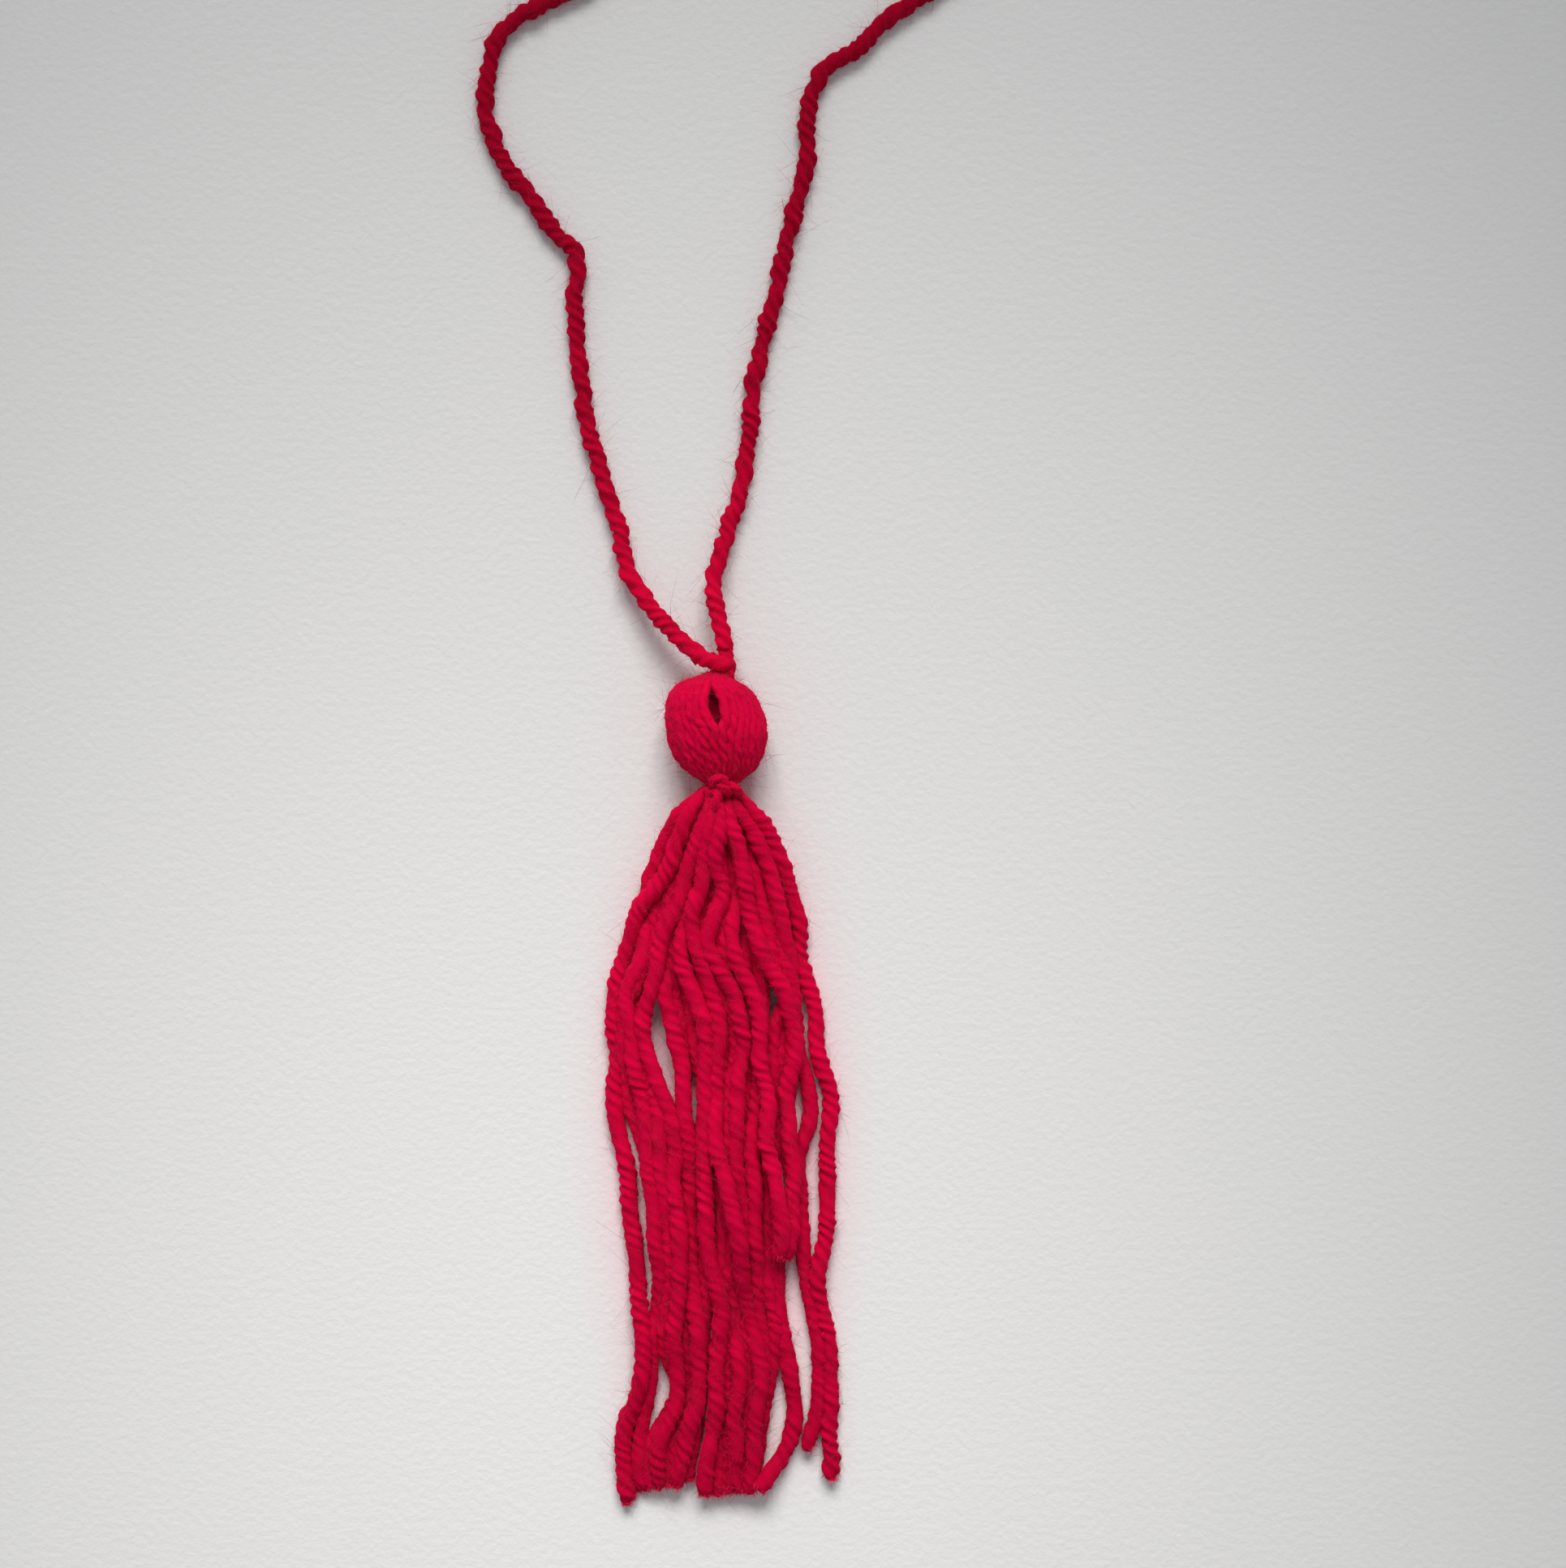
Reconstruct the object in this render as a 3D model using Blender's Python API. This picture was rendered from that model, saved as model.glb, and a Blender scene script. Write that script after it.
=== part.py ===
"""A handmade tassel of plied yarn, lying on its back with its hanging cord laid out above it.

A bundle of yarn is folded over at the top and tied at the neck. Above the tie it makes the round head,
which parts at the front, and below it the cut strands fan out in two layers. One more length of yarn is
knotted on top of the head and makes the loop that the tassel hangs by.

Metres, +Z up. The tassel lies along Y with its head towards +Y, and rests on the plane z = 0.
"""
import math

import bmesh
import bpy
from mathutils import Vector

MM = 0.001
GAP = 0.3 * MM
MERGE = 0.01 * MM

# The yarn, which is 2 mm thick when loose and pressed thinner in the skirt
CORD_THICKNESS = 2.1 * MM
STRAND_WIDTH = 1.4 * MM
LAYER_PITCH = STRAND_WIDTH + GAP

# The head and neck: sections from the top of the head down, in millimetres
HEAD_SECTIONS = (
    # along, left, right, low, high
    (50.8, -1.9, 1.3, 3.2, 6.2),
    (50.1, -5.0, 2.1, 1.5, 8.0),
    (49.0, -6.6, 3.8, 0.4, 9.0),
    (47.2, -7.4, 5.2, -0.4, 9.7),
    (45.0, -7.3, 5.9, -0.6, 10.0),
    (43.2, -7.0, 6.0, -0.6, 9.9),
    (41.8, -6.7, 5.8, -0.4, 9.4),
    (40.4, -6.0, 5.4, 0.1, 8.7),
    (39.0, -4.8, 4.5, 0.9, 7.9),
    (37.7, -2.9, 2.8, 1.8, 6.9),
    (36.9, -1.8, 1.6, 2.2, 6.2),
    (36.3, -1.8, 1.6, 2.2, 6.2),
    (35.6, -2.6, 2.3, 2.0, 6.1),
    (34.8, -3.7, 3.3, 1.8, 6.0),
    (33.6, -4.4, 4.0, 1.6, 5.8),
)
NECK_SECTION = 11
HEAD_TOP = Vector((-0.4, 51.0, 4.6)) * MM
HEAD_FOOT = Vector((0.0, 32.4, 3.4)) * MM
HEAD_YARNS = 20
YARN_RELIEF = 0.045
SLIT_CENTRE = -0.9 * MM
SLIT_HALF_WIDTH = 0.75 * MM
SLIT_FROM = 44.6 * MM
SLIT_TO = 49.2 * MM
SLIT_DEPTH = 2.2 * MM

# The neck tie and its knot
NECK_ALONG = 36.6 * MM
TIE_THICKNESS = 0.8 * MM
TIE_WIDTH = 1.2 * MM
TIE_STEPS = 28
TIE_SIDES = 8
TIE_KNOT_LUMPS = (
    # across, along, up, half width, half length, half height in millimetres
    (-0.2, 37.5, 7.95, 1.0, 0.8, 0.6),
    (0.5, 36.7, 7.6, 0.9, 0.65, 0.6),
)

# The skirt: where its strands are measured along Y, from the neck down, in millimetres
STATIONS = (33.8, 30.0, 23.0, 14.0, 5.0, -4.0, -13.0, -22.0, -30.0, -36.5, -42.0, -46.5)
ROOT_ALONG = 35.1 * MM
ROOT_GATHER = 0.5
BUNDLE_MIDDLE = 4.1 * MM

# One row for each strand. Stations past its end are left out
STRANDS = (
    # name, across at each station in millimetres,
    # strands that it lies on at each station and at its end, end across and along in millimetres
    ("left_edge", (-4.5, -7.6, -10.4, -12.8, -13.2, -12.9, -11.3, -10.7, -9.8, -10.1, -12.0, -12.3),
     "2100000000000", (-11.6, -51.1)),
    ("left_second", (-3.8, -6.0, -8.7, -10.9, -11.3, -10.9, -8.8, -7.9, -8.1, -8.8, -10.2, -10.4),
     "3211111111111", (-9.8, -49.8)),
    ("left_third", (-3.0, -4.4, -7.2, -9.2, -9.4, -7.6, -7.0, -6.2, -6.2, -5.4, -6.6, -7.0),
     "3111111111111", (-6.5, -48.8)),
    ("left_fourth", (-2.1, -2.9, -5.6, -7.5, -5.9, -4.9, -5.3, -4.5, -4.4, -3.7, -4.8, -5.2),
     "3321111111111", (-5.0, -48.4)),
    ("middle_first", (-1.4, -1.7, -3.5, -5.4, -4.0, -2.7, -2.2, -2.1, -2.7, -2.0, -3.1, -3.6),
     "3211111111111", (-3.3, -47.6)),
    ("middle_second", (-0.9, -0.6, -1.8, -3.5, -2.2, -1.0, 0.4, 1.4, 0.0, -0.3, -0.9, -1.4),
     "3321111111111", (-1.8, -50.8)),
    ("middle_third", (-0.3, 0.5, 0.0, -1.6, -0.3, 0.9, 2.1, 3.1, 2.1, 1.5, 0.9, 0.5),
     "3111111111111", (0.3, -49.4)),
    ("middle_fourth", (0.4, 1.5, 1.8, 0.5, 3.2, 3.1, 3.8, 4.8, 4.1, 3.6, 2.7, 2.2),
     "3111111111111", (2.0, -49.6)),
    ("short_right", (1.2, 2.6, 3.7, 2.6, 5.0, 5.0, 6.4),
     "33211111", (7.9, -21.2)),
    ("right_curl", (1.9, 3.7, 5.4, 5.2, 7.1, 7.6, 8.6, 7.4, 7.9, 8.3, 8.7, 6.6),
     "3200000000001", (4.3, -49.9)),
    ("right_second", (2.7, 4.9, 7.1, 7.8, 9.4, 10.9, 10.2, 10.2, 11.4, 11.8, 11.6),
     "321000000000", (11.0, -45.7)),
    ("right_edge", (3.6, 6.4, 8.8, 10.2, 11.9, 13.3, 13.0, 12.1, 12.9, 13.5, 13.4, 13.4),
     "2100000110000", (13.2, -48.0)),
    ("under_left_first", (-4.0, -6.0, -8.6, -11.0, -11.4, -11.1, -8.9, -8.0, -8.1, -8.4, -10.2, -10.5),
     "2000000000000", (-10.3, -49.4)),
    ("under_left_second", (-3.0, -4.2, -6.8, -9.2, -9.6, -8.2, -6.9, -6.1, -6.2, -6.4, -8.3, -8.6),
     "1000000000000", (-8.0, -49.6)),
    ("under_left_third", (-1.9, -2.4, -4.7, -7.0, -5.6, -4.8, -4.6, -4.0, -4.2, -4.1, -4.9, -5.2),
     "1000000000000", (-4.4, -47.6)),
    ("under_middle", (-1.2, -0.9, -2.6, -4.6, -3.2, -1.9, -0.6, -0.2, 0.0, -0.4, -1.1, -1.5),
     "1000000000000", (-1.5, -48.8)),
    ("under_centre", (-0.4, 0.2, -0.9, -2.6, -0.6, 0.1, 1.2, 1.9, 2.1, 1.6, 0.8, 0.3),
     "1000000000000", (0.3, -47.8)),
    ("under_right_first", (0.4, 1.5, 0.9, -0.6, 2.0, 2.2, 3.0, 4.0, 4.2, 3.5, 2.8, 2.2),
     "1000000000000", (2.0, -49.0)),
    ("under_right_second", (1.4, 2.9, 3.2, 3.4, 5.2, 5.8, 6.6, 5.7, 6.2, 5.6, 4.5, 3.8),
     "2000000000000", (3.5, -48.0)),
)

# The knot on top of the head
CORD_KNOT_CENTRE = Vector((-0.15, 52.3, 4.6)) * MM
CORD_KNOT_HALF = Vector((1.85, 1.05, 1.5)) * MM
CORD_KNOT_SEGMENTS = 18
CORD_KNOT_RINGS = 12
KNOT_WRAPS = 3
KNOT_RELIEF = 0.08

# The hanging cord's route, from the left of the knot round to its top: across, along and up in millimetres
CORD_ROUTE = (
    (-2.5, 52.8, 4.4), (-5.7, 55.7, 4.1), (-9.0, 59.5, 3.2), (-11.5, 63.5, 2.1), (-12.6, 68.2, 1.4),
    (-15.0, 76.0, 1.1), (-17.0, 83.8, 1.1), (-18.1, 90.0, 1.1), (-18.3, 96.0, 1.1), (-17.8, 100.8, 1.1),
    (-18.6, 103.5, 1.1), (-20.8, 105.7, 1.1), (-24.0, 110.2, 1.1), (-27.6, 115.2, 1.1), (-29.3, 121.4, 1.1),
    (-28.2, 128.4, 1.1), (-25.2, 132.1, 1.1), (-19.0, 135.2, 1.1), (-12.0, 139.2, 1.1), (0.0, 145.2, 1.1),
    (13.0, 150.3, 1.1),
    (25.0, 151.0, 1.1), (31.4, 147.0, 1.1), (31.2, 140.6, 1.1), (26.6, 136.2, 1.1), (20.0, 131.6, 1.1),
    (16.4, 128.0, 1.1), (13.6, 126.5, 1.1), (11.6, 124.2, 1.1), (10.5, 119.8, 1.1), (10.2, 113.4, 1.1),
    (8.4, 106.5, 1.1), (6.6, 98.0, 1.1), (4.3, 89.0, 1.1), (3.4, 81.5, 1.1), (2.4, 74.8, 1.1),
    (0.4, 67.6, 1.7), (-0.9, 63.2, 2.7), (-0.7, 58.8, 3.7), (0.2, 55.2, 4.4), (0.3, 53.8, 4.6),
)
CORD_POINTS = 66
CORD_BEVEL_RESOLUTION = 2

YARN_RED = (0.52, 0.005, 0.028, 1.0)
CORD_RED = (0.44, 0.004, 0.024, 1.0)
YARN_ROUGHNESS = 0.95


def clear_scene():
    for thing in list(bpy.data.objects):
        bpy.data.objects.remove(thing)


def new_collection(name):
    collection = bpy.data.collections.new(name)
    bpy.context.scene.collection.children.link(collection)
    return collection


def yarn_material(name, colour):
    material = bpy.data.materials.new(name)
    material.use_nodes = True
    shader = material.node_tree.nodes["Principled BSDF"]
    shader.inputs["Base Color"].default_value = colour
    shader.inputs["Roughness"].default_value = YARN_ROUGHNESS
    shader.inputs["Metallic"].default_value = 0.0
    return material


def mesh_object(name, mesh, collection, material=None):
    thing = bpy.data.objects.new(name, mesh)
    collection.objects.link(thing)
    if material is not None:
        mesh.materials.clear()
        mesh.materials.append(material)
    return thing


def reshaped_sphere(name, segments, rings, place):
    """A sphere primitive whose points are moved by place(ring, angle), where ring 0 is the first pole."""
    shape = bmesh.new()
    bmesh.ops.create_uvsphere(shape, u_segments=segments, v_segments=rings, radius=1.0)
    for point in shape.verts:
        fall = math.acos(max(-1.0, min(1.0, point.co.z))) / math.pi
        angle = math.atan2(point.co.y, point.co.x)
        point.co = place(round(fall * rings), angle)
    bmesh.ops.recalc_face_normals(shape, faces=shape.faces)
    mesh = bpy.data.meshes.new(name)
    shape.to_mesh(mesh)
    shape.free()
    return mesh


def smooth_route(points, count):
    """Evenly spread points on a smooth curve through the given ones."""
    fine = []
    steps = 24
    for index in range(len(points) - 1):
        before = points[max(index - 1, 0)]
        start = points[index]
        end = points[index + 1]
        after = points[min(index + 2, len(points) - 1)]
        for step in range(steps):
            t = step / steps
            bend = (2 * before - 5 * start + 4 * end - after) * t * t
            twist = (3 * start - before - 3 * end + after) * t * t * t
            fine.append((2 * start + (end - before) * t + bend + twist) / 2)
    fine.append(points[-1])
    travelled = [0.0]
    for index in range(1, len(fine)):
        travelled.append(travelled[-1] + (fine[index] - fine[index - 1]).length)
    route = []
    place = 0
    for number in range(count):
        goal = travelled[-1] * number / (count - 1)
        while place < len(fine) - 2 and travelled[place + 1] < goal:
            place += 1
        share = (goal - travelled[place]) / (travelled[place + 1] - travelled[place])
        route.append(fine[place].lerp(fine[place + 1], min(1.0, share)))
    return route


def welded_mesh(curve_object):
    """The mesh of a curve object with its caps joined to its sides. The curve object is removed."""
    settled = curve_object.evaluated_get(bpy.context.evaluated_depsgraph_get())
    mesh = bpy.data.meshes.new_from_object(settled)
    shape = bmesh.new()
    shape.from_mesh(mesh)
    bmesh.ops.remove_doubles(shape, verts=shape.verts, dist=MERGE)
    bmesh.ops.recalc_face_normals(shape, faces=shape.faces)
    shape.to_mesh(mesh)
    shape.free()
    bpy.data.objects.remove(curve_object)
    return mesh


def union(target, collection):
    joined = target.modifiers.new("Union", "BOOLEAN")
    joined.operation = "UNION"
    joined.solver = "EXACT"
    joined.operand_type = "COLLECTION"
    joined.collection = collection


def hide_helper(thing):
    thing.hide_render = True
    thing.display_type = "WIRE"


def slit_shape(across, along):
    """From 0 outside the front slit to 1 at its middle."""
    beside = abs(across - SLIT_CENTRE) / SLIT_HALF_WIDTH
    length = (along - SLIT_FROM) / (SLIT_TO - SLIT_FROM)
    if beside >= 1.0 or not 0.0 <= length <= 1.0:
        return 0.0
    return (1.0 - beside * beside) * math.sin(math.pi * length) ** 0.5


def head_point(ring, angle):
    """The head and neck: rings across Y, ribbed by the yarns that run round the head lengthwise."""
    if ring == 0:
        return HEAD_TOP
    if ring > len(HEAD_SECTIONS):
        return HEAD_FOOT
    along, left, right, low, high = (size * MM for size in HEAD_SECTIONS[ring - 1])
    relief = 1.0 + YARN_RELIEF * math.cos(HEAD_YARNS * angle)
    across = (left + right) / 2 + (right - left) / 2 * math.cos(angle) * relief
    up = (low + high) / 2 + (high - low) / 2 * math.sin(angle) * relief
    if up > BUNDLE_MIDDLE:
        up -= SLIT_DEPTH * slit_shape(across, along)
    return Vector((across, along, max(up, 0.0)))


def strand_path(across, under, end):
    """The middle line of one strand, from inside the neck to its cut end."""
    alongs = (*STATIONS[:len(across)], end[1])
    path = []
    for along, side, layers in zip(alongs, (*across, end[0]), under):
        height = STRAND_WIDTH / 2 + int(layers) * LAYER_PITCH
        path.append(Vector((side * MM, along * MM, height)))
    gathered = path[0].lerp(Vector((0.0, 0.0, BUNDLE_MIDDLE)), 1.0 - ROOT_GATHER)
    gathered.y = ROOT_ALONG
    return [gathered, *path]


def square_section(collection):
    """The outline of a strand, swept along each strand's middle line."""
    bpy.ops.curve.primitive_bezier_circle_add(radius=STRAND_WIDTH / 2)
    section = bpy.context.object
    for other in list(section.users_collection):
        other.objects.unlink(section)
    collection.objects.link(section)
    section.name = "strand_outline"
    outline = section.data
    outline.splines.clear()
    loop = outline.splines.new("POLY")
    loop.points.add(3)
    half = STRAND_WIDTH / 2
    corners = ((-half, -half), (half, -half), (half, half), (-half, half))
    for point, (side, height) in zip(loop.points, corners):
        point.co = (side, height, 0.0, 1.0)
    loop.use_cyclic_u = True
    hide_helper(section)
    return section


def make_strand(name, path, section, collection):
    curve = bpy.data.curves.new(name, "CURVE")
    curve.dimensions = "3D"
    curve.twist_mode = "Z_UP"
    curve.bevel_mode = "OBJECT"
    curve.bevel_object = section
    curve.use_fill_caps = True
    curve.resolution_u = 1
    spline = curve.splines.new("POLY")
    spline.points.add(len(path) - 1)
    for point, place in zip(spline.points, path):
        point.co = (*place, 1.0)
    thing = bpy.data.objects.new(name, curve)
    collection.objects.link(thing)
    bpy.context.view_layer.update()
    strand = mesh_object(name + "_strand", welded_mesh(thing), collection)
    hide_helper(strand)


def make_tassel(parts, helpers, material):
    rings = len(HEAD_SECTIONS) + 1
    head = mesh_object("tassel", reshaped_sphere("tassel", 2 * HEAD_YARNS, rings, head_point), parts, material)
    strands = bpy.data.collections.new("strands")
    helpers.children.link(strands)
    section = square_section(helpers)
    for name, across, under, end in STRANDS:
        make_strand(name, strand_path(across, under, end), section, strands)
    union(head, strands)
    return head


def tie_point(section_angle, round_angle):
    """The tie is a flattened ring that follows the neck with a small gap."""
    _, left, right, low, high = (size * MM for size in HEAD_SECTIONS[NECK_SECTION])
    reach = GAP + TIE_THICKNESS / 2 + TIE_THICKNESS / 2 * math.cos(section_angle)
    width = (right - left) / 2 * (1 + YARN_RELIEF) + reach
    height = (high - low) / 2 * (1 + YARN_RELIEF) + reach
    across = (left + right) / 2 + width * math.cos(round_angle)
    up = (low + high) / 2 + height * math.sin(round_angle)
    return Vector((across, NECK_ALONG + TIE_WIDTH / 2 * math.sin(section_angle), up))


def make_neck_tie(parts, helpers, material):
    bpy.ops.mesh.primitive_torus_add(
        major_segments=TIE_STEPS, minor_segments=TIE_SIDES, major_radius=1.0, minor_radius=0.5)
    ring = bpy.context.object
    for point in ring.data.vertices:
        out = math.hypot(point.co.x, point.co.y) - 1.0
        section_angle = math.atan2(point.co.z, out)
        point.co = tie_point(section_angle, math.atan2(point.co.y, point.co.x))
    mesh = ring.data.copy()
    bpy.data.objects.remove(ring)
    shape = bmesh.new()
    shape.from_mesh(mesh)
    bmesh.ops.recalc_face_normals(shape, faces=shape.faces)
    shape.to_mesh(mesh)
    shape.free()
    tie = mesh_object("neck_tie", mesh, parts, material)
    lumps = bpy.data.collections.new("tie_knot")
    helpers.children.link(lumps)
    for number, (across, along, up, *half) in enumerate(TIE_KNOT_LUMPS):
        centre = Vector((across, along, up)) * MM
        shape = bmesh.new()
        bmesh.ops.create_uvsphere(shape, u_segments=10, v_segments=7, radius=1.0)
        for point in shape.verts:
            point.co = centre + Vector((a * b * MM for a, b in zip(point.co, half)))
        lump_mesh = bpy.data.meshes.new("tie_lump")
        shape.to_mesh(lump_mesh)
        shape.free()
        hide_helper(mesh_object(f"tie_lump_{number + 1}", lump_mesh, lumps))
    union(tie, lumps)


def knot_point(ring, angle):
    """The knot is a lump with the cord's wraps raised on it."""
    fall = math.pi * ring / CORD_KNOT_RINGS
    wrap = math.cos(KNOT_WRAPS * angle + 2 * fall)
    size = 1.0 + KNOT_RELIEF * wrap * math.sin(fall) ** 2
    side = math.cos(fall) * size
    around = math.sin(fall) * size
    offset = Vector((side, around * math.cos(angle), around * math.sin(angle)))
    return CORD_KNOT_CENTRE + Vector((a * b for a, b in zip(offset, CORD_KNOT_HALF)))


def make_cord_knot(parts, material):
    mesh = reshaped_sphere("cord_knot", CORD_KNOT_SEGMENTS, CORD_KNOT_RINGS, knot_point)
    mesh_object("cord_knot", mesh, parts, material)


def make_hanging_cord(parts, material):
    route = smooth_route([Vector(place) * MM for place in CORD_ROUTE], CORD_POINTS)
    curve = bpy.data.curves.new("hanging_cord", "CURVE")
    curve.dimensions = "3D"
    curve.bevel_depth = CORD_THICKNESS / 2
    curve.bevel_resolution = CORD_BEVEL_RESOLUTION
    curve.use_fill_caps = True
    spline = curve.splines.new("POLY")
    spline.points.add(len(route) - 1)
    for point, place in zip(spline.points, route):
        point.co = (*place, 1.0)
    curve.materials.append(material)
    parts.objects.link(bpy.data.objects.new("hanging_cord", curve))


def main():
    clear_scene()
    parts = new_collection("yarn_tassel")
    helpers = new_collection("helpers")
    yarn = yarn_material("red_yarn", YARN_RED)
    cord = yarn_material("red_cord", CORD_RED)
    make_tassel(parts, helpers, yarn)
    make_neck_tie(parts, helpers, yarn)
    make_cord_knot(parts, cord)
    make_hanging_cord(parts, cord)


main()
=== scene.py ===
"""A handmade tassel of plied red yarn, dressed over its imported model.

Each strand, head yarn and cord is a twisted tube of three plies that follows the model's own lines, with
loose fibres standing off it. Metres, +Z up, with the head towards +Y and everything resting on z = 0.
"""

import math

import bpy
import numpy as np
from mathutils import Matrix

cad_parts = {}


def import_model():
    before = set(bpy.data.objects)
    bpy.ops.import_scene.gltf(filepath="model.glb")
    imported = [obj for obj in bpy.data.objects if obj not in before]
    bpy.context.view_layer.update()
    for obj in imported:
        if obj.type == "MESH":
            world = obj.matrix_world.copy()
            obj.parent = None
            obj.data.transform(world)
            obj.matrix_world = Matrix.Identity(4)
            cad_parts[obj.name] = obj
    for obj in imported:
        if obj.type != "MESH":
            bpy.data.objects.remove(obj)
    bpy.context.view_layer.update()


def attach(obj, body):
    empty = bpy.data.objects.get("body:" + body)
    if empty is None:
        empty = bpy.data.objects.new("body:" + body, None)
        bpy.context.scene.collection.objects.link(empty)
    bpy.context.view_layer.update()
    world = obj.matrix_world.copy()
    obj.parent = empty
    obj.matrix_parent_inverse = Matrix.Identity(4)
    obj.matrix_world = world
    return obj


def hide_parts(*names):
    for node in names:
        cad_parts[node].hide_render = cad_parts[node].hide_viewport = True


MM = 0.001

# The camera looks straight down. The photograph shows 0.1 mm in each pixel
CAMERA_CENTRE = (7.5 * MM, 37.4 * MM)
CAMERA_HEIGHT = 0.352
CAMERA_DISTANCE = 0.35
SENSOR = 36.0
VIEW_HEIGHT = 193.2 * MM

# The yarn: three plies round each other, in millimetres
PLIES = 3
PLY_STEPS = 7
YARN_MIDDLE = 0.97
PLY_RELIEF = 0.085
OUTER_RELIEF = 1.5
INNER_RELIEF = 0.72
RING_STEP = 0.33
YARN_PITCH = 4.5
CORD_PITCH = 5.2
YARN_RADIUS = YARN_MIDDLE + PLY_RELIEF
FLOOR_CLEARANCE = 0.03
LUMP_HEIGHT = 0.035
PLY_SWELL = 0.13
TWIST_DRIFT = 0.7
# Lumps on it: the length of each wave, and how often that wave turns round the yarn
LUMP_WAVES = ((1.3, 2), (0.8, -3), (0.55, 4))
# A cut end: how far back its plies part, how unequal they end, and the size of the yarn towards it
CUT_REACH = 2.2
CUT_UNEVEN = 0.6
CUT_SPREAD = 0.08
CUT_PLACES = (0, 0.4, 1.2)
CUT_SIZES = (0.55, 0.82, 1.0)
# How far apart the tubes of one piece lie on the yarn map
MAP_STEP = 37.3

# The head and neck, as in the model: sections from the top of the head down, in millimetres
HEAD_SECTIONS = (
    # along, left, right, low, high
    (50.8, -1.9, 1.3, 3.2, 6.2),
    (50.1, -5.0, 2.1, 1.5, 8.0),
    (49.0, -6.6, 3.8, 0.4, 9.0),
    (47.2, -7.4, 5.2, -0.4, 9.7),
    (45.0, -7.3, 5.9, -0.6, 10.0),
    (43.2, -7.0, 6.0, -0.6, 9.9),
    (41.8, -6.7, 5.8, -0.4, 9.4),
    (40.4, -6.0, 5.4, 0.1, 8.7),
    (39.0, -4.8, 4.5, 0.9, 7.9),
    (37.7, -2.9, 2.8, 1.8, 6.9),
    (36.9, -1.8, 1.6, 2.2, 6.2),
    (36.3, -1.8, 1.6, 2.2, 6.2),
)
HEAD_YARNS = 34
HEAD_PITCH = 5.4
HEAD_OVERLAP = 1.25
HEAD_WANDER = 0.03
HEAD_PLACES = (51.1, 50.5, 49.6, 48.6, 47.6, 46.0, 44.9, 43.8, 42.6, 41.0, 39.4, 38.2, 37.2, 36.4, 35.8)
# Along the head, how deep some of its yarns may be sunk, and how deep the plies are
SUNK_PLACES = (38, 40, 45, 47)
SUNK_DEPTHS = (0.0, 0.3, 0.2, 0.0)
HEAD_RELIEF_PLACES = (38.0, 42.5, 46.5)
HEAD_RELIEF = (1.9, 1.6, 0.4)
CORE_INSET = 1.75
SLIT_ANGLE = math.radians(88)
SLIT_MIDDLE = 46.7
SLIT_REACH = 2.35
SLIT_OPENING = 0.17

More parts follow.
